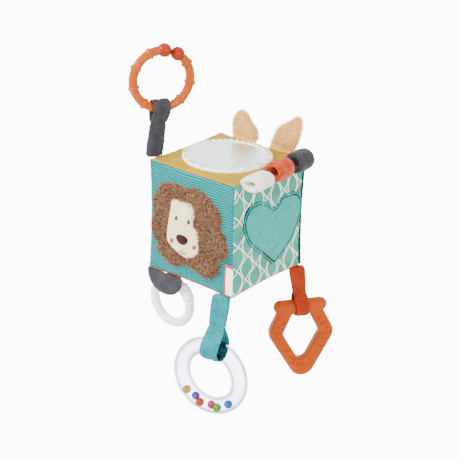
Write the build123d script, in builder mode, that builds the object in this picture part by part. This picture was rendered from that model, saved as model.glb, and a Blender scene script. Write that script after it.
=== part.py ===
"""Hanging activity cube: a soft cloth cube with a mirror, animal faces, ears, tag loops, a snap ring on a
strap above it, and a rattle ring, a teether and a teething ring below it. Millimetres, +Z up, the origin at
the centre of the cube's underside, the lion's face towards -Y and the heart towards +X."""

import math
import os

from build123d import *

os.makedirs("parts", exist_ok=True)

# Driving dimensions of the cube
side = 95.0
height = 102.0
edge_radius = 7.0
cloth = 2.0
half = side / 2

# Top: mirror under a printed cloth frame, on a thin wadding
mirror_radius = 35.0
frame_outer = 38.7
frame_inner = 32.7
wadding = 1.2
mirror_thickness = 1.0

# Sewn-on patches
patch = 2.5
detail = 0.8

# Straps, loops and ears end in a round root on the line they swing about
strap_half = 2.3
tape = 2.4
pole_turn = (33, 21, 17)  # turns a sphere's poles and seam off the tube that it is joined to
root_gap = 0.6
pad_half = 2.0

# Snap ring above the cube, on the strap at the front left corner
snap_azimuth = 60.0
snap_anchor = Vector(-47.5, -41.0, 104.0)
snap_aside = 6.75
snap_rise = 65.5
snap_radius = 25.0
snap_tube = 4.0
snap_ball = 6.0
snap_opening = 71.0

# Clear rattle ring, on the strap below the front edge
rattle_azimuth = 10.0
rattle_anchor = Vector(36.0, -48.1, -0.6)
rattle_aside = -8.0
rattle_rise = -77.0
rattle_radius = 28.5
rattle_tube = 7.4
rattle_wall = 1.2
bead_radius = 3.8
bead_circle = 29.7
bead_offset = 1.7

# Teether, on the strap below the far right corner
teether_azimuth = 55.0
teether_anchor = Vector(44.0, 44.0, -2.9)
teether_bar = -40.0
teether_half = 5.5

# Teething ring behind the grey pad
teething_centre = Vector(-25.1, -40.0, -26.9)
teething_radius = 20.2
teething_tube = 4.0
knob_radius = 5.2
knob_turns = (26.0, 38.0, 50.0)

FRONT = Plane(origin=(0, -half, 0), x_dir=(1, 0, 0), z_dir=(0, -1, 0))
RIGHT = Plane(origin=(half, 0, 0), x_dir=(0, 1, 0), z_dir=(1, 0, 0))
BACK = Plane(origin=(0, half, 0), x_dir=(-1, 0, 0), z_dir=(0, 1, 0))
LEFT = Plane(origin=(-half, 0, 0), x_dir=(0, -1, 0), z_dir=(-1, 0, 0))
TOP = Plane(origin=(0, 0, height), x_dir=(1, 0, 0), z_dir=(0, 0, 1))
BOTTOM = Plane(origin=(0, 0, 0), x_dir=(1, 0, 0), z_dir=(0, 0, -1))


def save(piece, name):
    """Label one finished piece and write its STEP file."""
    piece.part.label = name
    export_step(piece.part, f"parts/{name}.step")


def level(azimuth):
    """The level direction at an azimuth counted from +X."""
    angle = math.radians(azimuth)
    return Vector(math.cos(angle), math.sin(angle), 0)


def upright(azimuth, origin):
    """The upright plane whose x runs level along the azimuth, with y up."""
    return Plane(origin=origin, x_dir=level(azimuth), z_dir=level(azimuth - 90))


def across(azimuth, origin):
    """The upright plane square to that one: x runs to the back, y up, z along the azimuth."""
    return Plane(origin=origin, x_dir=level(azimuth + 90), z_dir=level(azimuth))


# ---- The stuffed cube: a foam core in six mitred cloth panels --------------------------------------------

with BuildPart() as outer_block:
    with Locations((0, 0, height / 2)):
        Box(side, side, height)
    fillet(outer_block.edges(), edge_radius)

with BuildPart() as core_block:
    with Locations((0, 0, height / 2)):
        Box(side - 2 * cloth, side - 2 * cloth, height - 2 * cloth)
    fillet(core_block.edges(), edge_radius - cloth)

with BuildPart() as shell:
    add(outer_block.part)
    add(core_block.part, mode=Mode.SUBTRACT)

panel_faces = {
    "front_panel": (FRONT, height),
    "right_panel": (RIGHT, height),
    "back_panel": (BACK, height),
    "left_panel": (LEFT, height),
    "top_panel": (TOP, side),
    "bottom_panel": (BOTTOM, side),
}
mitre_depth = 12.0
for name, (face, length) in panel_faces.items():
    middle = length / 2 if length == height else 0
    with BuildPart() as panel:
        with BuildSketch(face):
            with Locations((0, middle)):
                Rectangle(side, length)
        with BuildSketch(face.offset(-mitre_depth)):
            with Locations((0, middle)):
                Rectangle(side - 2 * mitre_depth, length - 2 * mitre_depth)
        loft(ruled=True)
        add(shell.part, mode=Mode.INTERSECT)
    save(panel, name)

# ---- What the core holds: crinkle foil, a rattle capsule and a squeaker ----------------------------------

foil_size = 62.0
foil_thickness = 0.4
foil_middle = 48.0
capsule_centre = (0, 10, 52)
capsule_radius = 15.0
capsule_wall = 1.2
pellet_radius = 2.2
pellet_circle = 5.0
squeaker_place = (-4.0, 44.0)
bellows_outer = 13.2
bellows_inner = 12.0
bellows_length = 12.0
bellows_front = half - cloth - 0.5
base_radius = 11.6
base_front = half - 11.5
pocket_floor = half - 19.5

with BuildPart() as foam_core:
    add(core_block.part)
    with Locations(capsule_centre):
        Sphere(capsule_radius, mode=Mode.SUBTRACT)
    with BuildSketch(FRONT.offset(-cloth)):
        with Locations(squeaker_place):
            Circle(bellows_outer + 0.8)
    extrude(amount=pocket_floor - (half - cloth), mode=Mode.SUBTRACT)
    with BuildSketch(RIGHT.offset(-cloth)):
        with Locations((0, foil_middle)):
            Rectangle(foil_size, foil_size)
    extrude(amount=-foil_thickness, mode=Mode.SUBTRACT)
save(foam_core, "foam_core")

with BuildPart() as crinkle_foil:
    with BuildSketch(RIGHT.offset(-cloth)):
        with Locations((0, foil_middle)):
            Rectangle(foil_size, foil_size)
    extrude(amount=-foil_thickness)
save(crinkle_foil, "crinkle_foil")

for name, keep in (("rattle_capsule_lower", Keep.BOTTOM), ("rattle_capsule_upper", Keep.TOP)):
    with BuildPart() as capsule:
        with Locations(capsule_centre):
            Sphere(capsule_radius)
            Sphere(capsule_radius - capsule_wall, mode=Mode.SUBTRACT)
        split(bisect_by=Plane.XY.offset(capsule_centre[2]), keep=keep)
    save(capsule, name)

pellet_reach = capsule_radius - capsule_wall - pellet_radius - 0.3
pellet_drop = math.sqrt(pellet_reach**2 - pellet_circle**2)
with BuildPart() as rattle_pellets:
    with Locations(capsule_centre):
        with Locations((0, 0, -pellet_reach)):
            Sphere(pellet_radius)
        with Locations((0, 0, -pellet_drop)):
            with PolarLocations(pellet_circle, 4):
                Sphere(pellet_radius)
save(rattle_pellets, "rattle_pellets")

with BuildPart() as squeaker_base:
    with BuildSketch(FRONT.offset(base_front - half)):
        with Locations(squeaker_place):
            Circle(base_radius)
            Circle(2.0, mode=Mode.SUBTRACT)
    extrude(amount=pocket_floor - base_front)
save(squeaker_base, "squeaker_base")

with BuildPart() as squeaker_bellows:
    with BuildSketch(FRONT.offset(bellows_front - half)):
        with Locations(squeaker_place):
            Circle(bellows_outer)
    extrude(amount=-bellows_length)
    with BuildSketch(FRONT.offset(bellows_front - half - capsule_wall)):
        with Locations(squeaker_place):
            Circle(bellows_inner)
    extrude(amount=capsule_wall - bellows_length, mode=Mode.SUBTRACT)
save(squeaker_bellows, "squeaker_bellows")

# ---- Top: wadding, mirror and its printed frame ----------------------------------------------------------

with BuildPart() as mirror_backing_pad:
    with BuildSketch(TOP):
        Circle(frame_outer)
    extrude(amount=wadding)
save(mirror_backing_pad, "mirror_backing_pad")

with BuildPart() as mirror_disc:
    with BuildSketch(TOP.offset(wadding)):
        Circle(mirror_radius)
    extrude(amount=mirror_thickness)
save(mirror_disc, "mirror_disc")

with BuildPart() as mirror_frame:
    with BuildSketch(TOP.offset(wadding)):
        Circle(frame_outer)
        Circle(frame_inner, mode=Mode.SUBTRACT)
    extrude(amount=2 * mirror_thickness)
    add(mirror_disc.part, mode=Mode.SUBTRACT)
save(mirror_frame, "mirror_frame")

# ---- Front: the lion, sewn on in layers ------------------------------------------------------------------

mane_outline = [
    (-25.7, 85.9), (-14.5, 88.1), (-4.1, 86.7), (7.6, 88.7), (23.7, 83.1), (34.5, 69.5), (33.3, 60.8),
    (38.2, 53.9), (41.7, 44.7), (41.2, 37.4), (32.8, 30.1), (32.7, 21.2), (22.7, 12.1), (6.3, 15.9),
    (-2.0, 17.6), (-11.7, 13.6), (-20.9, 13.3), (-33.3, 21.1), (-35.0, 28.8), (-41.8, 42.2),
    (-38.3, 59.5), (-40.3, 67.0), (-31.7, 82.5),
]  # fmt: skip
face_outline = [
    (-16.9, 74.8), (-6.8, 75.7), (5.0, 75.5), (8.9, 67.0), (7.6, 56.9), (12.9, 51.2), (13.3, 32.9),
    (3.1, 25.1), (-5.9, 25.1), (-19.6, 31.5), (-23.2, 40.4), (-20.1, 61.1),
]  # fmt: skip

with BuildPart() as lion_mane:
    with BuildSketch(FRONT.offset(-edge_radius / 2)):
        with BuildLine():
            Spline(*mane_outline, periodic=True)
        make_face()
    extrude(amount=edge_radius / 2 + patch)
    add(outer_block.part, mode=Mode.SUBTRACT)
save(lion_mane, "lion_mane")

with BuildPart() as lion_face:
    with BuildSketch(FRONT.offset(patch)):
        with BuildLine():
            Spline(*face_outline, periodic=True)
        make_face()
    extrude(amount=patch)
save(lion_face, "lion_face")

with BuildPart() as lion_nose:
    with BuildSketch(FRONT.offset(2 * patch)):
        with Locations((-3.6, 42.0)):
            Ellipse(6.0, 4.3)
    extrude(amount=patch)
save(lion_nose, "lion_nose")

with BuildPart() as lion_eyes:
    with BuildSketch(FRONT.offset(2 * patch)):
        with Locations((-10.6, 59.0), (2.8, 59.0)):
            Ellipse(1.1, 1.9)
    extrude(amount=detail)
save(lion_eyes, "lion_eyes")

with BuildPart() as lion_cheeks:
    with BuildSketch(FRONT.offset(2 * patch)):
        with Locations((-15.5, 37.3), (9.3, 37.9)):
            Ellipse(1.8, 2.6)
    extrude(amount=detail)
save(lion_cheeks, "lion_cheeks")

with BuildPart() as lion_mouth:
    with BuildSketch(FRONT.offset(2 * patch)):
        with BuildLine() as smile:
            ThreePointArc((-7.6, 31.2), (-3.0, 29.2), (1.6, 31.2))
            offset(smile.line, amount=0.5)
        make_face()
    extrude(amount=detail)
save(lion_mouth, "lion_mouth")

# ---- Right: the heart ------------------------------------------------------------------------------------

heart_cleft = (4.3, 68.9)
heart_tip = (7.0, 15.7)
heart_right = [(15.1, 75.9), (32.4, 74.6), (41.5, 68.1), (44.0, 56.7), (35.1, 36.7), (24.3, 25.8)]
heart_left = [(-12.9, 31.4), (-28.7, 45.0), (-36.9, 64.0), (-30.4, 77.6), (-18.4, 80.4), (-5.5, 75.8)]

with BuildPart() as heart_patch:
    with BuildSketch(RIGHT.offset(-edge_radius / 2)):
        with BuildLine():
            Spline(heart_cleft, *heart_right, heart_tip)
            Spline(heart_tip, *heart_left, heart_cleft)
        make_face()
    extrude(amount=edge_radius / 2 + patch)
    add(outer_block.part, mode=Mode.SUBTRACT)
save(heart_patch, "heart_patch")

# ---- Back: the round head that the two ears belong to ----------------------------------------------------

head_middle = 52.0
with BuildPart() as back_head_patch:
    with BuildSketch(BACK):
        with Locations((0, head_middle)):
            Ellipse(34.0, 31.0)
    extrude(amount=patch)
save(back_head_patch, "back_head_patch")

with BuildPart() as back_muzzle:
    with BuildSketch(BACK.offset(patch)):
        with Locations((0, head_middle - 11)):
            Ellipse(17.0, 12.0)
    extrude(amount=patch)
save(back_muzzle, "back_muzzle")

with BuildPart() as back_nose:
    with BuildSketch(BACK.offset(2 * patch)):
        with Locations((0, head_middle - 5)):
            Ellipse(5.0, 3.4)
    extrude(amount=patch / 2)
save(back_nose, "back_nose")

with BuildPart() as back_eyes:
    with BuildSketch(BACK.offset(patch)):
        with Locations((-11, head_middle + 7), (11, head_middle + 7)):
            Ellipse(1.3, 2.1)
    extrude(amount=detail)
save(back_eyes, "back_eyes")

# ---- Ears on the back top edge ---------------------------------------------------------------------------

ear_roots = {
    "ear_left": (
        (-31.1, -5.1),
        [(-32.4, 110.4), (-31.7, 118.8), (-25.5, 126.5), (-18.9, 124.2), (-12.2, 117.5), (-7.0, 111.8)],
    ),
    "ear_right": (
        (8.7, 30.5),
        [(12.1, 110.6), (17.9, 121.3), (27.9, 128.4), (39.0, 136.0), (42.0, 126.7), (37.1, 109.3)],
    ),
}
ear_axis = Vector(0, half + root_gap, height + root_gap)
for name, (root, curve) in ear_roots.items():
    with BuildPart() as ear:
        with BuildSketch(Plane(origin=ear_axis + Vector(root[0], 0, 0), x_dir=(0, 1, 0), z_dir=(1, 0, 0))):
            Circle(strap_half)
        extrude(amount=root[1] - root[0])
        with BuildSketch(Plane(origin=(0, ear_axis.Y, 0), x_dir=(1, 0, 0), z_dir=(0, -1, 0))):
            with BuildLine():
                Spline((root[0], ear_axis.Z), *curve, (root[1], ear_axis.Z))
                Line((root[1], ear_axis.Z), (root[0], ear_axis.Z))
            make_face()
        extrude(amount=strap_half, both=True)
    save(ear, name)

# ---- Three tag loops on the right top edge ---------------------------------------------------------------

tag_width = 15.5
tag_lift = 8.0
tag_reach = 12.5
tag_outer = 6.8
tag_inner = 4.8
tag_places = {"tag_loop_white": -27.0, "tag_loop_coral": 2.0, "tag_loop_grey": 30.0}
tag_out = (math.cos(math.radians(tag_lift)), math.sin(math.radians(tag_lift)))
for name, place in tag_places.items():
    axis = Vector(half + root_gap, place + tag_width / 2, height + root_gap)
    side_view = Plane(origin=axis, x_dir=(1, 0, 0), z_dir=(0, -1, 0))
    with BuildPart() as tag_loop:
        with BuildSketch(side_view):
            Circle(strap_half)
            with Locations((tag_reach * tag_out[0], tag_reach * tag_out[1])):
                Circle(tag_outer)
            make_hull()
        extrude(amount=tag_width)
        with BuildSketch(side_view):
            with Locations((tag_reach / 2 * tag_out[0], tag_reach / 2 * tag_out[1])):
                Circle(1.2)
            with Locations((tag_reach * tag_out[0], tag_reach * tag_out[1])):
                Circle(tag_inner)
            make_hull()
        extrude(amount=tag_width, mode=Mode.SUBTRACT)
    save(tag_loop, name)

# ---- Sewn-in label, folded over the front right edge -----------------------------------------------------

label_low = 4.0
label_high = 31.0
label_width = 8.0
label_half = 0.5
with BuildPart() as label_tag:
    with BuildSketch(Plane.XY.offset(label_low)):
        with Locations((half + root_gap, -half - root_gap - label_half)):
            Circle(label_half)
        with Locations((half + root_gap - label_width / 2, -half - root_gap - label_half)):
            Rectangle(label_width, 2 * label_half)
    extrude(amount=label_high - label_low)
save(label_tag, "label_tag")


# ---- Straps ----------------------------------------------------------------------------------------------


def looped_strap(azimuth, anchor, root, fold, reach, hole):
    """A doubled tape: a round root on its swing line, a flat band, and a loop that a tube goes through.
    root and fold are the band's two sides at its root and at its loop, measured level from the anchor.
    reach is the height of the loop's middle above the anchor, and hole is the loop's inner radius."""
    way = math.copysign(1, reach)
    neck = reach - way * (hole + tape)
    at_fold = anchor + level(azimuth) * fold[0]
    with BuildPart() as strap:
        with BuildSketch(across(azimuth, anchor + level(azimuth) * root[0])):
            Circle(strap_half)
        extrude(amount=root[1] - root[0])
        with BuildSketch(upright(azimuth, anchor)):
            with BuildLine():
                Polyline((root[0], 0), (root[1], 0), (fold[1], neck), (fold[0], neck), close=True)
            make_face()
        extrude(amount=strap_half, both=True)
        with BuildSketch(across(azimuth, at_fold)):
            with Locations((0, neck - way * 2 * tape)):
                Circle(strap_half)
            with Locations((0, reach)):
                Circle(hole + tape)
            make_hull()
        extrude(amount=fold[1] - fold[0])
        with BuildSketch(across(azimuth, at_fold)):
            with Locations((0, reach)):
                Circle(hole)
        extrude(amount=fold[1] - fold[0], mode=Mode.SUBTRACT)
    return strap


hang_strap = looped_strap(
    snap_azimuth, snap_anchor, (-5.8, 6.9), (-1.1, 11.9), snap_rise - snap_radius, hole=6.0
)
save(hang_strap, "hang_strap")

rattle_strap = looped_strap(
    rattle_azimuth, rattle_anchor, (-7.6, 8.6), (-15.8, 0.8), rattle_rise + rattle_radius, hole=9.8
)
save(rattle_strap, "rattle_strap")

teether_strap = looped_strap(
    teether_azimuth, teether_anchor, (-5.2, 9.2), (1.1, 13.3), teether_bar - teether_anchor.Z, hole=7.5
)
save(teether_strap, "teether_strap")

# ---- Snap ring: an open ring that ends in two balls ------------------------------------------------------

snap_centre = snap_anchor + level(snap_azimuth) * snap_aside + Vector(0, 0, snap_rise)
ball_turn = math.degrees((snap_ball + 0.2) / snap_radius)
with BuildPart(upright(snap_azimuth, snap_centre)) as hang_ring:
    Torus(
        snap_radius, snap_tube, major_angle=360 - 2 * ball_turn, rotation=(0, 0, snap_opening + ball_turn)
    )
    for turn in (snap_opening - ball_turn, snap_opening + ball_turn):
        place = level(turn) * snap_radius
        with Locations((place.X, place.Y, 0)):
            Sphere(snap_ball, rotation=pole_turn)
save(hang_ring, "hang_ring")

# ---- Rattle ring: two clear shells with six beads that run round inside ----------------------------------

rattle_centre = rattle_anchor + level(rattle_azimuth) * rattle_aside + Vector(0, 0, rattle_rise)
ring_plane = upright(rattle_azimuth, rattle_centre)
for name, keep in (("rattle_ring_front_shell", Keep.TOP), ("rattle_ring_rear_shell", Keep.BOTTOM)):
    with BuildPart(ring_plane) as ring_shell:
        Torus(rattle_radius, rattle_tube)
        Torus(rattle_radius, rattle_tube - rattle_wall, mode=Mode.SUBTRACT)
        split(bisect_by=ring_plane, keep=keep)
    save(ring_shell, name)

bead_turns = {"yellow": -49.0, "purple": -31.0, "orange": -17.7, "pink": 1.5, "green": 16.0, "blue": 36.0}
for number, (colour, turn) in enumerate(bead_turns.items()):
    place = level(turn - 90) * bead_circle
    with BuildPart(ring_plane) as bead:
        with Locations((place.X, place.Y, bead_offset * (-1) ** number)):
            Sphere(bead_radius)
    save(bead, f"bead_{colour}")

# ---- Teether: a rounded drop with a straight bar at the top ----------------------------------------------

body_rounds = [
    (-4.0, -46.0, 9.5),
    (18.0, -46.0, 9.5),
    (-7.4, -64.5, 14.0),
    (24.1, -67.0, 14.2),
    (10.5, -97.0, 12.2),
]
hole_rounds = [
    (1.6, -50.0, 3.6),
    (12.6, -50.0, 3.6),
    (-1.3, -65.5, 7.0),
    (17.2, -66.5, 7.2),
    (9.2, -86.6, 5.3),
]
bar_radius = 6.2
bar_ends = (-11.8, 25.5)
rim_radius = 3.4
teether_plane = upright(teether_azimuth, Vector(teether_anchor.X, teether_anchor.Y, 0))
bar_middle = teether_plane.origin + Vector(0, 0, teether_bar)
bar_places = [bar_middle + level(teether_azimuth) * end for end in bar_ends]
with BuildPart() as teether:
    with BuildSketch(teether_plane):
        for x, z, radius in body_rounds:
            with Locations((x, z)):
                Circle(radius)
        make_hull()
    extrude(amount=teether_half, both=True)
    with BuildSketch(teether_plane):
        for x, z, radius in hole_rounds:
            with Locations((x, z)):
                Circle(radius)
        make_hull()
    extrude(amount=teether_half, both=True, mode=Mode.SUBTRACT)
    fillet(teether.faces().filter_by(Axis((0, 0, 0), teether_plane.z_dir)).edges(), rim_radius)
    with BuildSketch(across(teether_azimuth, bar_places[0])):
        Circle(bar_radius)
    extrude(amount=bar_ends[1] - bar_ends[0])
    with Locations(*bar_places):
        Sphere(bar_radius)
save(teether, "teether")

# ---- Grey pad, its tape, and the teething ring behind it -------------------------------------------------

pad_middle = -27.0
pad_reach = 20.0
pad_drop = 18.4
pad_axis = Vector(pad_middle, -half - root_gap, -root_gap)
with BuildPart() as grey_pad:
    with BuildSketch(across(0, pad_axis - Vector(pad_reach - 2, 0, 0))):
        Circle(pad_half)
    extrude(amount=2 * pad_reach - 4)
    with BuildSketch(upright(0, pad_axis)):
        with BuildLine():
            EllipticalCenterArc((0, 0), pad_reach, pad_drop, start_angle=180, arc_size=180)
            Line((pad_reach, 0), (-pad_reach, 0))
        make_face()
    extrude(amount=pad_half, both=True)
save(grey_pad, "grey_pad")

tape_length = 10.0
tape_inner = teething_tube + 1.2
tape_outer = tape_inner + 0.9
teething_top = teething_centre + Vector(0, 0, teething_radius)
pad_back = pad_axis.Y + pad_half
web_depth = teething_top.Y - tape_inner - pad_back + 0.8
with BuildPart() as ring_tape:
    with BuildSketch(across(0, teething_top - Vector(tape_length / 2, 0, 0))):
        Circle(tape_outer)
        with Locations((pad_back - teething_top.Y + web_depth / 2, 0)):
            Rectangle(web_depth, tape_inner)
        Circle(tape_inner, mode=Mode.SUBTRACT)
    extrude(amount=tape_length)
save(ring_tape, "ring_tape")

with BuildPart(upright(0, teething_centre)) as teething_ring:
    Torus(teething_radius, teething_tube, rotation=(0, 0, 200))
    for turn in knob_turns:
        place = level(turn) * teething_radius
        with Locations((place.X, place.Y, 0)):
            Sphere(knob_radius, rotation=pole_turn)
save(teething_ring, "teething_ring")
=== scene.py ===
import math

import bmesh
import bpy
import numpy as np
from mathutils import Matrix, Vector


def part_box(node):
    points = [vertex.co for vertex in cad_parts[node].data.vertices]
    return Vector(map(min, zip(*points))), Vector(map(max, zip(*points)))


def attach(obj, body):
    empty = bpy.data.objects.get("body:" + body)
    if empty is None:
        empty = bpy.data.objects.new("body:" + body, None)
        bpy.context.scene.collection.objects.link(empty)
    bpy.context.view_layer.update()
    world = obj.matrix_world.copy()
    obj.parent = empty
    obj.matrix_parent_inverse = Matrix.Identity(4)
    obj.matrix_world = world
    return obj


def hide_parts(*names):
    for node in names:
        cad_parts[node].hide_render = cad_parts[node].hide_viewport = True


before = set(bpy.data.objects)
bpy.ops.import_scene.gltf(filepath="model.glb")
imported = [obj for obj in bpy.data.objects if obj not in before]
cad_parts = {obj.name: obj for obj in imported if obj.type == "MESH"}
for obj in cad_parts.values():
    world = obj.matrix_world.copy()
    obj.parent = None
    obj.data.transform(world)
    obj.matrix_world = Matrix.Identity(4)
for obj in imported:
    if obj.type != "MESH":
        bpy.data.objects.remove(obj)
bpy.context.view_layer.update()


# ---- The studio ------------------------------------------------------------------------------------------
# The toy hangs free over a pale floor under a pale sky and two broad lights, in front of a glowing card.
# The camera looks at the middle of the cube from its front right, a little above, with a long lens.

view_azimuth = math.radians(39.0)
view_elevation = math.radians(22.7)
view_roll = math.radians(1.6)
view_distance = 1.249
cube_middle = (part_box("foam_core")[0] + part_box("foam_core")[1]) / 2

away = Vector(
    (
        math.sin(view_azimuth) * math.cos(view_elevation),
        -math.cos(view_azimuth) * math.cos(view_elevation),
        math.sin(view_elevation),
    )
)
level_right = Vector((math.cos(view_azimuth), math.sin(view_azimuth), 0.0))
level_up = away.cross(level_right)
camera_right = level_right * math.cos(view_roll) + level_up * math.sin(view_roll)
camera_up = level_up * math.cos(view_roll) - level_right * math.sin(view_roll)
camera_turn = Matrix((camera_right, camera_up, away)).transposed().to_4x4()
camera = bpy.data.objects.new("camera", bpy.data.cameras.new("camera"))
camera.matrix_world = Matrix.Translation(Vector(cube_middle) + away * view_distance) @ camera_turn
camera.data.lens = 113.3
camera.data.shift_x = 0.0089
camera.data.shift_y = -0.0376
camera.data.clip_start = 0.05
bpy.context.collection.objects.link(camera)
bpy.context.scene.camera = camera

sky = bpy.data.worlds.new("pale_sky")
sky.use_nodes = True
sky.node_tree.nodes["Background"].inputs["Color"].default_value = (1.0, 1.0, 1.0, 1.0)
sky.node_tree.nodes["Background"].inputs["Strength"].default_value = 2.7
bpy.context.scene.world = sky


def soft_light(name, place, size, power):
    """A square area light that faces the cube."""
    light = bpy.data.lights.new(name, "AREA")
    light.energy = power
    light.size = size
    lamp = bpy.data.objects.new(name, light)
    facing = (Vector(cube_middle) - Vector(place)).to_track_quat("-Z", "Y")
    lamp.matrix_world = Matrix.LocRotScale(Vector(place), facing, None)
    bpy.context.collection.objects.link(lamp)


soft_light("key_light", (-0.9, -1.3, 1.1), 0.8, 80.0)
soft_light("fill_light", (1.6, -0.9, 0.6), 1.0, 30.0)

floor_mesh = bpy.data.meshes.new("floor")
floor_reach = 6.0
floor_level = -1.3
floor_mesh.from_pydata(
    [(x * floor_reach, y * floor_reach, floor_level) for x, y in ((-1, -1), (1, -1), (1, 1), (-1, 1))],
    [],
    [(0, 1, 2, 3)],
)
floor = bpy.data.objects.new("floor", floor_mesh)
bpy.context.collection.objects.link(floor)
floor_paint = bpy.data.materials.new("pale_floor")
floor_paint.use_nodes = True
floor_paint.node_tree.nodes["Principled BSDF"].inputs["Base Color"].default_value = (0.9, 0.9, 0.9, 1.0)
floor_paint.node_tree.nodes["Principled BSDF"].inputs["Roughness"].default_value = 0.9
floor_mesh.materials.append(floor_paint)

card_mesh = bpy.data.meshes.new("glowing_card")
card_middle = Vector(cube_middle) - away * 1.7
card_mesh.from_pydata(
    [
        card_middle + level_right * x + level_up * y
        for x, y in ((-1.3, -1.1), (1.3, -1.1), (1.3, 1.1), (-1.3, 1.1))
    ],
    [],
    [(0, 1, 2, 3)],
)
card = bpy.data.objects.new("glowing_card", card_mesh)
bpy.context.collection.objects.link(card)
card_glow = bpy.data.materials.new("white_glow")
card_glow.use_nodes = True
card_glow.node_tree.nodes["Principled BSDF"].inputs["Emission Color"].default_value = (1.0, 1.0, 1.0, 1.0)
card_glow.node_tree.nodes["Principled BSDF"].inputs["Emission Strength"].default_value = 9.0
card_mesh.materials.append(card_glow)


# ---- The stuffed cube ------------------------------------------------------------------------------------
# Six cloth panels sewn edge to edge over firm wadding. The seams pull in between the corners, the faces
# swell, and small puckers run out of each seam. The cloth is then let settle, a little way only.

MM = 0.001
half_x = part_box("right_panel")[1][0]
half_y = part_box("back_panel")[1][1]
cube_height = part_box("top_panel")[1][2]
half_z = cube_height / 2
corner_round = 2.6 * MM
seam_round = 4.6 * MM
flat_share = 0.86
panel_cells = 96
cloth_thickness = 0.9 * MM
face_swell = 1.0 * MM
top_swell = 0.9 * MM


def surface(name, points, uv, wrap=(False, False), weld=False):
    """A smooth mesh over a grid of points (rows, columns, 3). wrap joins the last row or column to the
    first, and then uv has one more there. weld merges the poles and points the faces outwards."""
    rows, columns = points.shape[:2]
    i, j = np.meshgrid(np.arange(rows - (not wrap[0])), np.arange(columns - (not wrap[1])), indexing="ij")
    i = np.stack([i, i + 1, i + 1, i], axis=-1)
    j = np.stack([j, j, j + 1, j + 1], axis=-1)
    corners = ((i % rows) * columns + j % columns).reshape(-1)
    mesh = bpy.data.meshes.new(name)
    mesh.vertices.add(rows * columns)
    mesh.vertices.foreach_set("co", points.reshape(-1).astype(np.float32))
    mesh.loops.add(len(corners))
    mesh.loops.foreach_set("vertex_index", corners.astype(np.int32))
    mesh.polygons.add(len(corners) // 4)
    mesh.polygons.foreach_set("loop_start", np.arange(0, len(corners), 4, dtype=np.int32))
    mesh.polygons.foreach_set("use_smooth", np.ones(len(corners) // 4, dtype=bool))
    layer = mesh.uv_layers.new(name="UVMap")
    layer.data.foreach_set("uv", uv[i, j].reshape(-1).astype(np.float32))
    mesh.update(calc_edges=True)
    if weld:
        shape = bmesh.new()
        shape.from_mesh(mesh)
        bmesh.ops.remove_doubles(shape, verts=shape.verts, dist=1e-6)
        bmesh.ops.recalc_face_normals(shape, faces=shape.faces)
        shape.to_mesh(mesh)
        shape.free()
    piece = bpy.data.objects.new(name, mesh)
    bpy.context.collection.objects.link(piece)
    return piece


def put(tree, kind, inputs=None, **settings):
    """Add a shader node; an input given as a socket is linked, and any other value is set."""
    made = tree.nodes.new(kind)
    for key, value in settings.items():
        setattr(made, key, value)
    for key, value in (inputs or {}).items():
        if isinstance(value, bpy.types.NodeSocket):
            tree.links.new(value, made.inputs[key])
        else:
            made.inputs[key].default_value = value
    return made


def mixed(tree, factor, first, second):
    """The colour that goes from first to second as the factor goes from 0 to 1."""
    ways = {0: factor, 6: first, 7: second}
    return put(tree, "ShaderNodeMix", ways, data_type="RGBA").outputs[2]


def ramp(tree, value, low, high):
    """The value stretched so that low gives 0 and high gives 1."""
    ways = {"Value": value, "From Min": low, "From Max": high}
    return put(tree, "ShaderNodeMapRange", ways, interpolation_type="SMOOTHSTEP").outputs[0]


def maths(tree, operation, first, second=0.0):
    """One step of arithmetic between two values."""
    return put(tree, "ShaderNodeMath", {0: first, 1: second}, operation=operation).outputs[0]


def plus(tree, first, second):
    """First and second added."""
    return maths(tree, "ADD", first, second)


def less(tree, first, second):
    """First with second taken away."""
    return maths(tree, "SUBTRACT", first, second)


def times(tree, first, second):
    """First and second multiplied."""
    return maths(tree, "MULTIPLY", first, second)


def paint(tree, shader, factor, first, second):
    """Give the shader the colour that goes from first to second with the factor."""
    tree.links.new(mixed(tree, factor, first, second), shader.inputs["Base Color"])


def rgba(red, green, blue):
    """The cloth colour that this bright studio shows as the colour given, 0 to 255: its strongest channel
    goes back along the film's curve, less in a strong colour, and the other two keep their share of it."""
    seen = np.array([red, green, blue]) / 255.0
    share = (seen / seen.max()) ** (3.0 + 4.5 * max(0.0, seen.max() - 0.65))
    film = (0, 18, 70, 100, 128, 151, 174, 194, 202, 216, 224, 233, 240)
    light = (0.0, 0.01, 0.05, 0.10, 0.18, 0.30, 0.50, 0.80, 1.0, 1.5, 2.0, 2.6, 2.9)
    value = np.interp(seen.max() * 255, film, light) / 3.1
    strong = share * value * (0.5 + 0.5 * seen.min() / seen.max())
    return (*(float(v) for v in strong), 1.0)


def new_finish(name, roughness, sheen=0.0):
    """A new material: its node tree, its shader, and the piece's Object coordinates."""
    material = bpy.data.materials.new(name)
    material.use_nodes = True
    tree = material.node_tree
    shader = tree.nodes["Principled BSDF"]
    shader.inputs["Roughness"].default_value = roughness
    shader.inputs["Sheen Weight"].default_value = sheen
    shader.inputs["Sheen Roughness"].default_value = 0.5
    shader.inputs["Specular IOR Level"].default_value = 0.05 if roughness > 0.7 else 0.35
    place = tree.nodes.new("ShaderNodeTexCoord").outputs["Object"]
    return material, tree, shader, place


def noise(tree, place, size, detail=3.0, roughness=0.55):
    """Noise whose lumps are about size across, in metres."""
    ways = {"Vector": place, "Scale": 1.0 / size, "Detail": detail, "Roughness": roughness}
    return put(tree, "ShaderNodeTexNoise", ways).outputs[0]


def bump(tree, shader, height, depth, strength=1.0):
    """Raise the shader's surface by height times depth, in metres."""
    ways = {"Height": height, "Distance": depth, "Strength": strength}
    tree.links.new(put(tree, "ShaderNodeBump", ways).outputs[0], shader.inputs["Normal"])


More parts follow.
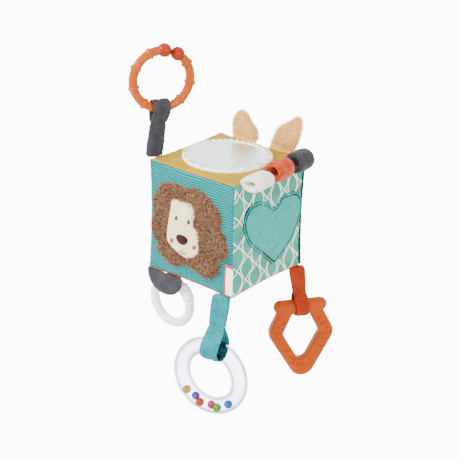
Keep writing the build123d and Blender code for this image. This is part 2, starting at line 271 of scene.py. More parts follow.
def velour(name, colour, shade, pile=0.5 * MM):
    """Short cut pile: a fine grain, and broad patches where the nap lies the other way."""
    material, tree, shader, place = new_finish(name, 0.92, sheen=0.04)
    grain = noise(tree, place, pile, 2.0)
    nap = noise(tree, place, 9 * MM, 3.0)
    fine = mixed(tree, ramp(tree, grain, 0.3, 0.72), shade, colour)
    light = mixed(tree, ramp(tree, nap, 0.35, 0.7), fine, colour)
    paint(tree, shader, 0.6, fine, light)
    bump(tree, shader, grain, 0.35 * MM, 0.8)
    return material


def corduroy():
    """Level ribs 2.15 mm apart that waver a little, darker in their troughs as painted shade, with a painted
    highlight along their crests, which breaks into long dashes.
    """
    material, tree, shader, place = new_finish("turquoise_corduroy", 0.9, sheen=0.06)
    parts = put(tree, "ShaderNodeSeparateXYZ", {0: place})
    sway = times(tree, noise(tree, place, 11 * MM, 1.0), 1.1 * MM)
    turn = times(tree, plus(tree, parts.outputs["Z"], sway), 2 * math.pi / (2.15 * MM))
    rib = plus(tree, times(tree, maths(tree, "SINE", turn), 0.5), 0.5)
    stretch = put(tree, "ShaderNodeMapping", {"Vector": place, "Scale": (0.16, 0.16, 1.0)}).outputs[0]
    dash = noise(tree, stretch, 1.3 * MM, 1.0)
    pile = noise(tree, place, 0.5 * MM, 2.0)
    broad = noise(tree, place, 16 * MM, 2.0)
    # The ground goes from dark in the rib troughs to light on the crests: painted shade in the troughs.
    ground = mixed(tree, ramp(tree, rib, 0.05, 0.7), rgba(30, 160, 164), rgba(64, 200, 200))
    ground = mixed(tree, ramp(tree, broad, 0.55, 0.75), ground, rgba(46, 180, 182))
    # A painted highlight along the rib crests, broken into dashes by noise.
    crest_highlight = times(tree, ramp(tree, rib, 0.78, 1.0), ramp(tree, dash, 0.32, 0.62))
    crest_highlight = times(tree, crest_highlight, plus(tree, times(tree, pile, 0.6), 0.35))
    paint(tree, shader, crest_highlight, ground, rgba(108, 208, 208))
    bump(tree, shader, plus(tree, rib, times(tree, pile, 0.35)), 0.6 * MM)
    return material


def ogee_print():
    """Smooth green cotton printed with pointed ovals. In each upright column two lines swing either side of
    its middle by swing * |sin(pi z / period)|, and the next column is half a period lower."""
    material, tree, shader, place = new_finish("green_print", 0.8, sheen=0.08)
    parts = put(tree, "ShaderNodeSeparateXYZ", {0: place})
    pitch, period, swing, width = 11.9 * MM, 22.6 * MM, 7.2 * MM, 0.5 * MM
    waver = times(tree, less(tree, noise(tree, place, 12 * MM, 1.0), 0.5), 2.2 * MM)
    line = None
    for start_y, start_z in ((-41.2 * MM, 46.4 * MM), (-41.2 * MM + pitch, 46.4 * MM + period / 2)):
        aside = less(tree, plus(tree, parts.outputs["Y"], waver), start_y - 8 * pitch)
        aside = maths(tree, "PINGPONG", aside, pitch)
        height = times(tree, less(tree, parts.outputs["Z"], start_z), math.pi / period)
        bulge = times(tree, maths(tree, "ABSOLUTE", maths(tree, "SINE", height)), swing)
        apart = maths(tree, "ABSOLUTE", less(tree, aside, bulge))
        ink = ramp(tree, apart, width * 1.35, width * 0.75)
        line = ink if line is None else maths(tree, "MAXIMUM", line, ink)
    weave = noise(tree, place, 0.35 * MM, 1.0)
    broad = noise(tree, place, 14 * MM, 2.0)
    green = mixed(tree, ramp(tree, broad, 0.3, 0.7), rgba(84, 178, 158), rgba(108, 196, 176))
    green = mixed(tree, times(tree, weave, 0.3), green, rgba(140, 208, 192))
    paint(tree, shader, line, green, rgba(246, 232, 228))
    bump(tree, shader, weave, 0.12 * MM, 0.6)
    return material


def dotted_print():
    """Off-white cotton with small grey dots, staggered."""
    material, tree, shader, place = new_finish("dotted_print", 0.82, sheen=0.08)
    cells = {"Vector": place, "Scale": 1 / (7.0 * MM), "Randomness": 0.0}
    dots = put(tree, "ShaderNodeTexVoronoi", cells).outputs["Distance"]
    weave = noise(tree, place, 0.35 * MM, 1.0)
    ground = mixed(tree, weave, rgba(228, 220, 204), rgba(246, 240, 228))
    paint(tree, shader, ramp(tree, dots, 0.2, 0.16), ground, rgba(150, 146, 144))
    bump(tree, shader, weave, 0.12 * MM, 0.6)
    return material


def fold(c):
    """Tangent of the fold angle at grid place c: 0 on the flat, growing to 1 at the seam."""
    share = np.clip((np.abs(c) - flat_share) / (1 - flat_share), 0, 1)
    return np.tan(share * math.pi / 4)


def panel_points(half_a, half_b, half_n, swell, cells=panel_cells):
    """One face of the pillow cube. Over the grid (c, d) from -1 to 1, the face is flat up to flat_share and
    then bends to 45 degrees at the seam, about a radius that grows from the corners to the seams' middles."""
    ends = np.linspace(-1, 1, cells + 1)
    c, d = np.meshgrid(ends, ends, indexing="ij")
    fold_c, fold_d = fold(c), fold(d)
    long = np.sqrt(1 + fold_c**2 + fold_d**2)
    round_c = corner_round + seam_round * (1 - d**2)
    round_d = corner_round + seam_round * (1 - c**2)
    both = fold_c**2 + fold_d**2
    radius = np.where(both > 0, (round_c * fold_c**2 + round_d * fold_d**2) / np.maximum(both, 1e-9), 0)
    radius = np.where(both > 0, radius, np.minimum(round_c, round_d))
    near_c, near_d = (np.clip(np.abs(e) / flat_share, 0, 1) * np.sign(e) for e in (c, d))
    flat_c = half_a - np.where(fold_c > 0, radius, round_c)
    flat_d = half_b - np.where(fold_d > 0, radius, round_d)
    a = near_c * flat_c + np.sign(c) * radius * fold_c / long
    b = near_d * flat_d + np.sign(d) * radius * fold_d / long
    n = half_n - radius * (1 - 1 / long) * (both > 0)
    n = n + swell * (1 - c**4) * (1 - d**4)
    edge_c = np.exp(-(1 - np.abs(c)) * half_a / (3.5 * MM))
    edge_d = np.exp(-(1 - np.abs(d)) * half_b / (3.5 * MM))
    pucker = np.sin(b / (1.15 * MM) + 2 * np.sin(b / (5 * MM))) * edge_c * (1 - edge_c)
    pucker = pucker + np.sin(a / (1.2 * MM) + 2 * np.sin(a / (6 * MM))) * edge_d * (1 - edge_d)
    n = n + 0.55 * MM * pucker
    return np.stack([a, b, n], axis=-1), np.stack([a, b], axis=-1)


panel_ways = {
    "front": ((1, 0, 0), (0, 0, 1), (0, -1, 0)),
    "right": ((0, 1, 0), (0, 0, 1), (1, 0, 0)),
    "back": ((-1, 0, 0), (0, 0, 1), (0, 1, 0)),
    "left": ((0, -1, 0), (0, 0, 1), (-1, 0, 0)),
    "top": ((1, 0, 0), (0, 1, 0), (0, 0, 1)),
    "bottom": ((1, 0, 0), (0, -1, 0), (0, 0, -1)),
}
panel_halves = {
    "front": (half_x, half_z, half_y),
    "right": (half_y, half_z, half_x),
    "back": (half_x, half_z, half_y),
    "left": (half_y, half_z, half_x),
    "top": (half_x, half_y, half_z),
    "bottom": (half_x, half_y, half_z),
}
panel_swell = {"top": top_swell, "bottom": 0.0}
panel_cloth = {
    "front": corduroy(),
    "right": ogee_print(),
    "back": velour("coral_velour", rgba(222, 124, 86), rgba(190, 90, 58)),
    "left": dotted_print(),
    "top": velour("yellow_velour", rgba(226, 200, 22), rgba(208, 176, 12)),
    "bottom": velour("coral_underside", rgba(222, 124, 72), rgba(200, 94, 50)),
}


def lay(face, points):
    """Points given as (along, up, out) on a face, turned into the cube's own frame."""
    ways = np.array(panel_ways[face], dtype=float)
    return points @ ways + np.array([0, 0, half_z])


def thicken(piece, thickness):
    """Give a cloth its thickness, inwards."""
    solid = piece.modifiers.new("thickness", "SOLIDIFY")
    solid.thickness = thickness
    solid.offset = -1.0




settling_frames = 18
most_outwards, most_inwards, most_sideways = 0.9 * MM, 0.5 * MM, 0.3 * MM


def settled(halves, swell):
    """How far one panel's cloth moves when it is let go with a little slack, sewn fast along its four seams
    and pressed out from behind: (along, up, out) over the panel's grid, finer than the one it is run on."""
    coarse, uv = panel_points(*halves, swell, cells=panel_cells // 2)
    trial = surface("cloth_trial", coarse, uv)
    sewn = trial.vertex_groups.new(name="sewn")
    size = panel_cells // 2 + 1
    rim = [i * size + j for i in range(size) for j in range(size) if i in (0, size - 1) or j in (0, size - 1)]
    sewn.add(rim, 1.0, "ADD")
    cloth = trial.modifiers.new("cloth", "CLOTH")
    settings = cloth.settings
    settings.quality = 6
    settings.mass = 0.02
    settings.tension_stiffness = settings.compression_stiffness = 20
    settings.bending_stiffness = 0.05
    settings.air_damping = 2
    settings.shrink_min = -0.02
    settings.vertex_group_mass = "sewn"
    settings.use_pressure = True
    settings.uniform_pressure_force = 0.6
    settings.effector_weights.gravity = 0.0
    cloth.collision_settings.use_collision = False
    cloth.point_cache.frame_start, cloth.point_cache.frame_end = 1, settling_frames
    for step in range(1, settling_frames + 1):
        bpy.context.scene.frame_set(step)
    after = trial.evaluated_get(bpy.context.evaluated_depsgraph_get())
    spots = np.zeros(size * size * 3, dtype=np.float32)
    after.data.vertices.foreach_get("co", spots)
    bpy.data.objects.remove(trial)
    bpy.context.scene.frame_set(1)
    moved = spots.reshape(size, size, 3) - coarse
    fine = np.zeros((panel_cells + 1, panel_cells + 1, 3))
    fine[::2, ::2] = moved
    fine[1::2, ::2] = (moved[1:] + moved[:-1]) / 2
    fine[:, 1::2] = (fine[:, 2::2] + fine[:, :-2:2]) / 2
    return fine


for face, halves in panel_halves.items():
    points, uv = panel_points(*halves, panel_swell.get(face, face_swell))
    slimmer = panel_swell.get(face, face_swell) - most_outwards
    least = (-most_sideways, -most_sideways, -most_inwards)
    slack = np.clip(settled(halves, slimmer), least, (most_sideways, most_sideways, most_outwards))
    full_height = points[..., 2]
    points = panel_points(*halves, slimmer)[0] + slack
    points[..., 2] = np.minimum(points[..., 2], full_height)
    panel = surface(f"{face}_cloth", lay(face, points), uv)
    panel.data.materials.append(panel_cloth[face])
    thicken(panel, cloth_thickness)
    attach(panel, "cube")
    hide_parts(f"{face}_panel")

wadding_inset = 2.6 * MM
wadding_cells = 32
core = bmesh.new()
for face, halves in panel_halves.items():
    slim = (half - wadding_inset for half in halves)
    grid, _ = panel_points(*slim, panel_swell.get(face, face_swell), cells=wadding_cells)
    knots = [[core.verts.new(spot) for spot in row] for row in lay(face, grid)]
    for low_row, high_row in zip(knots, knots[1:]):
        for k in range(wadding_cells):
            core.faces.new((low_row[k], high_row[k], high_row[k + 1], low_row[k + 1]))
bmesh.ops.remove_doubles(core, verts=core.verts, dist=1e-5)
bmesh.ops.recalc_face_normals(core, faces=core.faces)
wadding_mesh = bpy.data.meshes.new("wadding")
core.to_mesh(wadding_mesh)
core.free()
wadding = bpy.data.objects.new("wadding", wadding_mesh)
bpy.context.scene.collection.objects.link(wadding)
wadding_mesh.materials.append(velour("wadding_fibre", rgba(236, 234, 228), rgba(214, 212, 206)))
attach(wadding, "cube")
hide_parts("foam_core")


# ---- The lion on the front -------------------------------------------------------------------------------
# A curly plush mane sewn to the front panel, with a cream velour face stuffed a little proud of it. The
# nose is a small padded oval, and the cheeks, eyes and mouth are stitched in coloured thread.

front_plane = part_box("lion_mane")[1][1]
face_proud = front_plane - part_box("lion_face")[0][1]


def smooth_loop(corners, count=360):
    """A closed curve through the corners, as count points evenly spaced along it."""
    corners = np.array(corners, dtype=float) * MM
    before, here, after, beyond = (np.roll(corners, k, axis=0)[:, None] for k in (1, 0, -1, -2))
    t = np.linspace(0, 1, 24, endpoint=False)[None, :, None]
    curve = 0.5 * (
        2 * here
        + (after - before) * t
        + (2 * before - 5 * here + 4 * after - beyond) * t**2
        + (3 * here - before - 3 * after + beyond) * t**3
    ).reshape(-1, 2)
    closed = np.vstack([curve, curve[:1]])
    along = np.concatenate([[0], np.cumsum(np.linalg.norm(np.diff(closed, axis=0), axis=1))])
    even = np.linspace(0, along[-1], count, endpoint=False)
    return np.stack([np.interp(even, along, closed[:, k]) for k in (0, 1)], axis=-1)


def depth_inside(places, outline):
    """Each place's distance to the nearest point of the outline."""
    flat = places.reshape(-1, 1, 2)
    ends = np.roll(outline, -1, axis=0) - outline
    gone = np.clip(((flat - outline) * ends).sum(-1) / (ends**2).sum(-1), 0, 1)
    return np.linalg.norm(outline + ends * gone[..., None] - flat, axis=-1).min(1).reshape(places.shape[:2])


def rumple(places, size, seed):
    """Smooth noise from -1 to 1 at the places, a sum of waves in many directions about size long."""
    dice = np.random.default_rng(seed)
    ways = dice.normal(size=(14, places.shape[-1]))
    ways *= 2 * math.pi / size / np.linalg.norm(ways, axis=1, keepdims=True) * dice.uniform(0.6, 1.5, (14, 1))
    return np.sin(places @ ways.T + dice.uniform(0, 6.3, 14)).mean(-1) * 2.2


def patch_points(outline, middle, proud, edge, swell, rings=44, stitch=None, rough=0.0, size=4 * MM, seed=1):
    """A stuffed patch over the grid (ring, turn): the outline shrinks to its middle. At depth d inside it the
    height is (proud - swell) * sqrt(1 - (1 - d / edge)^2) plus swell times the depth's share to the power
    0.6, less a groove at the stitch's depth, plus rumple. The first ring is a skirt sunk into the panel.
    Points are (along, up, out), and uv is (depth, up) in metres."""
    middle = np.array(middle, dtype=float) * MM
    share = (1 - np.linspace(0, 1, rings) ** 1.6)[:, None, None]
    places = middle + (outline[None] - middle) * share
    depth = depth_inside(places, outline)
    lip = np.clip(depth / edge, 0, 1)
    height = (proud - swell) * np.sqrt(1 - (1 - lip) ** 2) + swell * np.clip(depth / depth.max(), 0, 1) ** 0.6
    if stitch:
        height = height - stitch[1] * np.exp(-(((depth - stitch[0]) / (0.7 * MM)) ** 2))
    height = height + rough * rumple(places, size, seed) * lip
    skirt = np.concatenate([places[:1], places])
    height = np.concatenate([-1.6 * MM + 0 * height[:1], height])
    depth = np.concatenate([depth[:1], depth])
    uv = np.stack([depth, skirt[..., 1]], axis=-1)
    return np.concatenate([skirt, height[..., None]], axis=-1), uv


def close_uv(uv):
    """The uv grid with its first column again at the end, for a surface joined round."""
    return np.concatenate([uv, uv[:, :1]], axis=1)


def patch(name, face, points, uv, material):
    """Stand the patch on its face of the cube and give it its material."""
    ways = np.array(panel_ways[face], dtype=float)
    halves = {"front": half_y, "right": half_x, "back": half_y, "top": half_z}
    out = points @ ways + np.array(panel_ways[face][2]) * halves[face] + np.array([0, 0, half_z])
    piece = surface(name, out, close_uv(uv), wrap=(False, True), weld=True)
    piece.data.materials.append(material)
    return piece


def pile(name, roots, normals, length, width, lean, curl, seed, bends=4):
    """Short tapered fibres over (fibre, bend, side): each leaves its root along the normal, leans by lean and
    bows by curl towards a direction of its own, and narrows to its tip."""
    dice = np.random.default_rng(seed)
    count = len(roots)
    other = np.cross(normals, dice.normal(size=(count, 3)))
    other /= np.linalg.norm(other, axis=1, keepdims=True)
    side = np.cross(normals, other)
    long = (length * dice.uniform(0.55, 1.1, count))[:, None, None]
    t = np.linspace(0, 1, bends + 1)[None, :, None]
    bow = dice.uniform(0.4, 1.0, count)[:, None, None]
    rise = normals[:, None] * (t - 0.35 * curl * t**2 * bow)
    spine = roots[:, None] + long * (rise + other[:, None] * bow * (lean * t + curl * t**2))
    half = width * (1 - 0.9 * t) / 2
    points = np.stack([spine - side[:, None] * half, spine + side[:, None] * half], axis=2)
    quads = np.arange(count)[:, None] * 2 * (bends + 1) + np.arange(bends)[None] * 2
    corners = np.stack([quads, quads + 1, quads + 3, quads + 2], axis=-1).reshape(-1)
    mesh = bpy.data.meshes.new(name)
    mesh.vertices.add(points.size // 3)
    mesh.vertices.foreach_set("co", points.reshape(-1).astype(np.float32))
    mesh.loops.add(len(corners))
    mesh.loops.foreach_set("vertex_index", corners.astype(np.int32))
    mesh.polygons.add(len(corners) // 4)
    mesh.polygons.foreach_set("loop_start", np.arange(0, len(corners), 4, dtype=np.int32))
    mesh.polygons.foreach_set("use_smooth", np.ones(len(corners) // 4, dtype=bool))
    layer = mesh.uv_layers.new(name="UVMap")
    up = np.broadcast_to(t, (count, bends + 1, 1))
    level = np.stack([up[:, :-1, 0], up[:, :-1, 0], up[:, 1:, 0], up[:, 1:, 0]], axis=-1).reshape(-1)
    luck = np.repeat(dice.uniform(0, 1, count), bends * 4)
    layer.data.foreach_set("uv", np.stack([luck, level], axis=-1).reshape(-1).astype(np.float32))
    mesh.update(calc_edges=True)
    made = bpy.data.objects.new(name, mesh)
    bpy.context.collection.objects.link(made)
    return made


def roots_on(piece, count, seed, keep=None):
    """Random places on a piece's surface with their normals, spread evenly by area."""
    dice = np.random.default_rng(seed)
    mesh = piece.data
    mesh.calc_loop_triangles()
    corners = np.zeros(len(mesh.loop_triangles) * 3, dtype=np.int32)
    mesh.loop_triangles.foreach_get("vertices", corners)
    spots = np.zeros(len(mesh.vertices) * 3)
    mesh.vertices.foreach_get("co", spots)
    a, b, c = spots.reshape(-1, 3)[corners.reshape(-1, 3)].transpose(1, 0, 2)
    normal = np.cross(b - a, c - a)
    area = np.linalg.norm(normal, axis=1)
    normal /= np.maximum(area, 1e-15)[:, None]
    if keep is not None:
        area = area * keep((a + b + c) / 3, normal)
    picked = dice.choice(len(area), count, p=area / area.sum())
    u, v = dice.uniform(0, 1, (2, count, 1))
    over = u + v > 1
    u, v = np.where(over, 1 - u, u), np.where(over, 1 - v, v)
    a, b, c = a[picked], b[picked], c[picked]
    return a + u * (b - a) + v * (c - a), normal[picked]


def own_uv(tree):
    """The node that gives a piece's own UV place as X and Y."""
    return put(tree, "ShaderNodeSeparateXYZ", {0: put(tree, "ShaderNodeUVMap").outputs[0]})


def fibre_material(name, root, tip, clump=0.5, roughness=0.85):
    """Fibres that go from the root's colour to the tip's, in clumps that are a little lighter or darker."""
    material, tree, shader, place = new_finish(name, roughness, sheen=0.2)
    own = own_uv(tree)
    along = mixed(tree, own.outputs["Y"], root, tip)
    tint = put(tree, "ShaderNodeHueSaturation", {"Color": along})
    patchy = ramp(tree, noise(tree, place, 1.7 * MM, 2.0), 0.36, 0.64)
    luck = plus(tree, times(tree, own.outputs["X"], 0.4), times(tree, patchy, clump))
    value = plus(tree, luck, 0.8 - clump / 2)
    tree.links.new(value, tint.inputs["Value"])
    tree.links.new(tint.outputs[0], shader.inputs["Base Color"])
    return material


mane_corners = [
    (-25.7, 85.9), (-14.5, 88.1), (-4.1, 86.7), (7.6, 88.7), (23.7, 83.1), (34.5, 69.5),
    (33.3, 60.8), (38.2, 53.9), (41.7, 44.7), (41.2, 37.4), (32.8, 30.1), (32.7, 21.2),
    (22.7, 12.1), (6.3, 15.9), (-2, 17.6), (-11.7, 13.6), (-20.9, 13.3), (-33.3, 21.1),
    (-35, 28.8), (-41.8, 42.2), (-38.3, 59.5), (-40.3, 67), (-31.7, 82.5),
]
face_corners = [
    (-16.9, 74.8), (-6.8, 75.7), (5, 75.5), (8.9, 67), (7.6, 56.9), (12.9, 51.2),
    (13.3, 32.9), (3.1, 25.1), (-5.9, 25.1), (-19.6, 31.5), (-23.2, 40.4), (-20.1, 61.1),
]


def on_cube(corners):
    """Corners whose heights are from the cube's middle, as lay() wants them."""
    return [(x, z - half_z / MM) for x, z in corners]


mane_outline = smooth_loop(on_cube(mane_corners)) * np.array([0.975, 0.975])
face_outline = smooth_loop(on_cube(face_corners))
mane_middle = (-2.0, 50.0 - half_z / MM)
# The mane's ground cloth under the curls is dark brown, darker than the curls: painted shade deep in the
# pile.
points, uv = patch_points(
    mane_outline, mane_middle, 3.4 * MM, 2.4 * MM, 0.9 * MM, rings=70, rough=0.95 * MM, size=3.6 * MM, seed=5
)
mane = patch(
    "lion_mane_plush",
    "front",
    points,
    uv,
    velour("mane_ground_in_shade", rgba(150, 112, 84), rgba(96, 66, 46), pile=0.9 * MM),
)


def off_face(centres, normals):
    """Keep fibres off the back of the mane and out from under the face."""
    flat = np.stack([centres[:, 0], centres[:, 2] - half_z], axis=-1)
    inner = face_outline.mean(0) + (face_outline - face_outline.mean(0)) * 0.93
    a, b = inner, np.roll(inner, -1, axis=0)
    spans = (a[None, :, 1] > flat[:, None, 1]) != (b[None, :, 1] > flat[:, None, 1])
    rise = np.where(np.abs(b - a)[:, 1] > 1e-12, (b - a)[:, 1], 1e-12)
    cross = a[None, :, 0] + (flat[:, None, 1] - a[None, :, 1]) / rise * (b - a)[None, :, 0]
    inside = (spans & (flat[:, None, 0] < cross)).sum(1) % 2 == 1
    return (~inside) & (normals[:, 1] < 0.3)


roots, normals = roots_on(mane, 14000, 11, off_face)
# The curls run from a dark root to a pale tip: painted shade at the roots.
curls = pile("lion_mane_curls", roots, normals, 3.0 * MM, 0.5 * MM, 0.5, 1.3, 12)
curls.data.materials.append(fibre_material("mane_curl", rgba(118, 86, 64), rgba(200, 162, 130), clump=0.9))
curls.parent = mane
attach(mane, "cube")
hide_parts("lion_mane")

points, uv = patch_points(
    face_outline,
    (-4.0, 50.0 - half_z / MM),
    face_proud + 0.6 * MM,
    1.9 * MM,
    1.4 * MM,
    stitch=(1.7 * MM, 0.35 * MM),
)
face_cream = velour("face_velour", rgba(244, 236, 214), rgba(214, 200, 170), pile=0.4 * MM)
face = patch("lion_face_velour", "front", points, uv, face_cream)
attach(face, "cube")
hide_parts("lion_face")


def even_uv(rows, columns):
    """The uv grid of a surface of so many rows and columns, each from 0 to 1."""
    return np.stack(np.meshgrid(np.linspace(0, 1, rows), np.linspace(0, 1, columns), indexing="ij"), axis=-1)


def thread(name, path, radius, material):
    """A round thread carried along a path of points, closed at both ends, over the grid (step, turn)."""
    path = np.array(path, dtype=float)
    way = np.gradient(path, axis=0)
    way /= np.linalg.norm(way, axis=1, keepdims=True)
    up = np.cross(way, np.array([0.31, -0.82, 0.48]))
    up /= np.linalg.norm(up, axis=1, keepdims=True)
    side = np.cross(way, up)
    turn = np.linspace(0, 2 * math.pi, 12, endpoint=False)
    ends = np.minimum(np.arange(len(path)), np.arange(len(path))[::-1])
    size = radius * np.where(ends == 0, 0.0, np.where(ends == 1, 0.75, 1.0))
    ring = np.cos(turn)[None, :, None] * up[:, None] + np.sin(turn)[None, :, None] * side[:, None]
    points = path[:, None] + ring * size[:, None, None]
    uv = even_uv(len(path), 13)
    made = surface(name, points, uv, wrap=(False, True), weld=True)
    made.data.materials.append(material)
    return made


def joined(name, parts):
    """Several objects with one material made into one object."""
    shape = bmesh.new()
    for part in parts:
        shape.from_mesh(part.data)
    mesh = parts[0].data.copy()
    shape.to_mesh(mesh)
    shape.free()
    for part in parts:
        bpy.data.objects.remove(part)
    made = bpy.data.objects.new(name, mesh)
    bpy.context.collection.objects.link(made)
    return made


def yarn(name, colour, roughness=0.6):
    """Embroidery thread with a fine twist along it, darker in the grooves of its twist as painted shade."""
    material, tree, shader, place = new_finish(name, roughness, sheen=0.2)
    own = own_uv(tree)
    twist = plus(tree, times(tree, own.outputs["X"], 60.0), times(tree, own.outputs["Y"], 6.28))
    ply = maths(tree, "SINE", twist)
    # The thread's colour at 0.55 is painted shade for the grooves of the twist.
    dark = tuple(v * 0.55 for v in colour[:3]) + (1.0,)
    paint(tree, shader, ramp(tree, ply, -0.9, 0.5), dark, colour)
    bump(tree, shader, ply, 0.08 * MM)
    return material


dark_thread = yarn("dark_thread", rgba(64, 48, 46))
cheek_thread = yarn("cheek_thread", rgba(222, 118, 56))
pale_thread = yarn("pale_thread", rgba(238, 230, 212))


def ground(x, z):
    """Where the lion's face stands in front of a place on the front: the nearest point of its cloth."""
    gap = (face_front[:, 0] - x) ** 2 + (face_front[:, 2] - z) ** 2
    return float(face_front[np.argmin(gap), 1])


def satin(name, centre, half_wide, half_tall, lean, material, lines, proud=0.35 * MM, height=None):
    """An oval filled with threads side by side, each bowed a little off the cloth."""
    sides = np.linspace(-0.92, 0.92, lines)
    made = []
    for side in sides:
        reach = math.sqrt(1 - side * side)
        t = np.linspace(-1, 1, 9)
        across, up = side * half_wide + lean * t * reach * half_tall, t * reach * half_tall
        out = (height or ground)(centre[0], centre[1]) - proud * (1 - t**2) + 0.1 * MM
        path = np.stack([centre[0] + across, out, centre[1] + up], axis=-1)
        made.append(thread(name, path, half_wide / lines * 1.15, material))
    return joined(name, made)


face_spots = np.array([vertex.co for vertex in face.data.vertices])
face_front = face_spots[face_spots[:, 1] < face_spots[:, 1].min() + 2.4 * MM]
eyes = [
    satin("eye_stitch", (x * MM, 59.0 * MM), 1.4 * MM, 2.8 * MM, 0.1, dark_thread, 5) for x in (-10.6, 2.8)
]
eyes = joined("lion_eye_stitches", eyes)
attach(eyes, "cube")
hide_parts("lion_eyes")
whites = [
    satin("eye_white", ((x + 1.5) * MM, 58.6 * MM), 0.4 * MM, 1.9 * MM, 0.45, pale_thread, 2)
    for x in (-10.6, 2.8)
]
whites = joined("lion_eye_whites", whites)
whites.parent = eyes

cheeks = [
    satin("cheek_stitch", (x * MM, z * MM), 1.8 * MM, 2.6 * MM, 0.3, cheek_thread, 9, proud=0.5 * MM)
    for x, z in ((-15.5, 37.3), (9.3, 37.9))
]
cheeks = joined("lion_cheek_stitches", cheeks)
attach(cheeks, "cube")
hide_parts("lion_cheeks")

t = np.linspace(-1, 1, 17)
smile_out = ground(-3 * MM, 29 * MM) - 0.15 * MM + 0 * t
smile = np.stack([(-3.0 + 4.8 * t) * MM, smile_out, (29.0 + 2.2 * t**2) * MM], axis=-1)
mouth = thread("lion_mouth_stitch", smile, 0.42 * MM, dark_thread)
drop_out = ground(-3.2 * MM, 33 * MM) - 0.1 * MM + 0 * t[:5]
drop = np.stack([(-3.2 + 0 * t[:5]) * MM, drop_out, np.linspace(29.2, 37, 5) * MM], axis=-1)
mouth = joined("lion_mouth_stitches", [mouth, thread("lion_lip", drop, 0.22 * MM, dark_thread)])
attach(mouth, "cube")
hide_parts("lion_mouth")

turn = np.linspace(0, 2 * math.pi, 120, endpoint=False)
nose_up = 42 - half_z / MM + 4.4 * np.sin(turn) + 0.5 * np.cos(2 * turn)
nose_outline = np.stack([-3.6 + 6.2 * np.cos(turn), nose_up], axis=-1)
points, uv = patch_points(
    nose_outline * MM, (-3.6, 42 - half_z / MM), 2.7 * MM, 1.6 * MM, 1.2 * MM, rings=30, rough=0.1 * MM
)
points[..., 2] += face_proud + 0.3 * MM
nose = patch("lion_nose_pad", "front", points, uv, velour("nose_velour", rgba(104, 74, 72), rgba(62, 42, 42)))
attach(nose, "cube")
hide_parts("lion_nose")


# ---- The heart on the right ------------------------------------------------------------------------------
# A light turquoise plush heart over crinkle foil, sewn down a little inside its edge with a dark thread
# that sinks into the pile.

heart_corners = [
    (4.3, 68.9), (15.1, 75.9), (32.4, 74.6), (41.5, 68.1), (44, 56.7), (35.1, 36.7),
    (24.3, 25.8), (12, 17.4), (7, 15.7), (2.5, 18.0), (-12.9, 31.4), (-28.7, 45),
    (-36.9, 64), (-30.4, 77.6), (-18.4, 80.4), (-5.5, 75.8),
]
heart_outline = smooth_loop(on_cube(heart_corners), 480)
points, uv = patch_points(
    heart_outline,
    (3.0, 50.0 - half_z / MM),
    3.0 * MM,
    1.4 * MM,
    1.3 * MM,
    rings=80,
    stitch=(2.4 * MM, 1.3 * MM),
    rough=0.12 * MM,
    size=7 * MM,
    seed=9,
)


def stitched_plush():
    """Light pile that goes dark along the sunk stitch line, its dark thread with painted shade in the groove
    round it, and dark at its cut edge, where it drops to the panel, as painted shade.
    """
    material, tree, shader, place = new_finish("heart_plush", 0.92, sheen=0.1)
    own = own_uv(tree)
    grain = noise(tree, place, 0.7 * MM, 2.0)
    nap = noise(tree, place, 8 * MM, 3.0)
    soft = mixed(tree, ramp(tree, grain, 0.3, 0.7), rgba(44, 178, 170), rgba(112, 216, 208))
    soft = mixed(tree, ramp(tree, nap, 0.3, 0.7), soft, rgba(78, 198, 192))
    waver = times(tree, less(tree, grain, 0.5), 0.5 * MM)
    depth = plus(tree, own.outputs["X"], waver)
    groove = ramp(tree, maths(tree, "ABSOLUTE", less(tree, depth, 2.4 * MM)), 1.0 * MM, 0.45 * MM)
    edge = ramp(tree, depth, 0.9 * MM, 0.3 * MM)
    # The dark band is the dark thread together with painted shade in its groove, and painted shade at the
    # rim.
    dark = maths(tree, "MAXIMUM", groove, edge)
    paint(tree, shader, dark, soft, rgba(4, 108, 112))
    bump(tree, shader, grain, 0.5 * MM, 0.9)
    return material


heart = patch("heart_plush_patch", "right", points, uv, stitched_plush())
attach(heart, "cube")
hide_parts("heart_patch")


# ---- The animal's head on the back -----------------------------------------------------------------------
# The face that the two ears belong to: a peach plush oval with a cream muzzle and a stitched nose and eyes.

turn = np.linspace(0, 2 * math.pi, 200, endpoint=False)
peach = velour("peach_velour", rgba(248, 200, 140), rgba(224, 166, 104), pile=0.7 * MM)
for name, node, slot, wide, tall, up, proud, base, material in (
    ("back_head_pad", "back_head_patch", "ear_plush", 34.0, 31.0, 52.0, 3.0, 0.0, peach),
    ("back_muzzle_pad", "back_muzzle", "face_velour", 17.0, 12.0, 41.0, 2.6, 2.5, face_cream),
    ("back_nose_pad", "back_nose", "nose_velour", 5.0, 3.4, 47.0, 1.6, 4.9, nose.data.materials[0]),
):
    outline = np.stack([wide * np.cos(turn), up - half_z / MM + tall * np.sin(turn)], axis=-1) * MM
    middle = (0, up - half_z / MM)
    points, uv = patch_points(outline, middle, proud * MM, 1.4 * MM, proud * 0.4 * MM, rings=30)
    points[..., 2] += base * MM
    made = patch(name, "back", points, uv, material)
    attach(made, "cube")
    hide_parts(node)


def back_front(x, z):
    """The back head's front is level where its eyes are."""
    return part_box("back_eyes")[1][1] - 0.1 * MM


back_eyes = joined(
    "back_eye_stitches",
    [
        satin("back_eye", (x * MM, 59.0 * MM), 1.6 * MM, 2.4 * MM, 0.0, dark_thread, 7, -0.6 * MM, back_front)
        for x in (-11, 11)
    ],
)
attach(back_eyes, "cube")
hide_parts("back_eyes")


# ---- The mirror on the top -------------------------------------------------------------------------------
# A plastic mirror held down by a padded satin ring, printed with yellow-green dashes: short spokes on one
# side, and long arcs in two rows on the other.

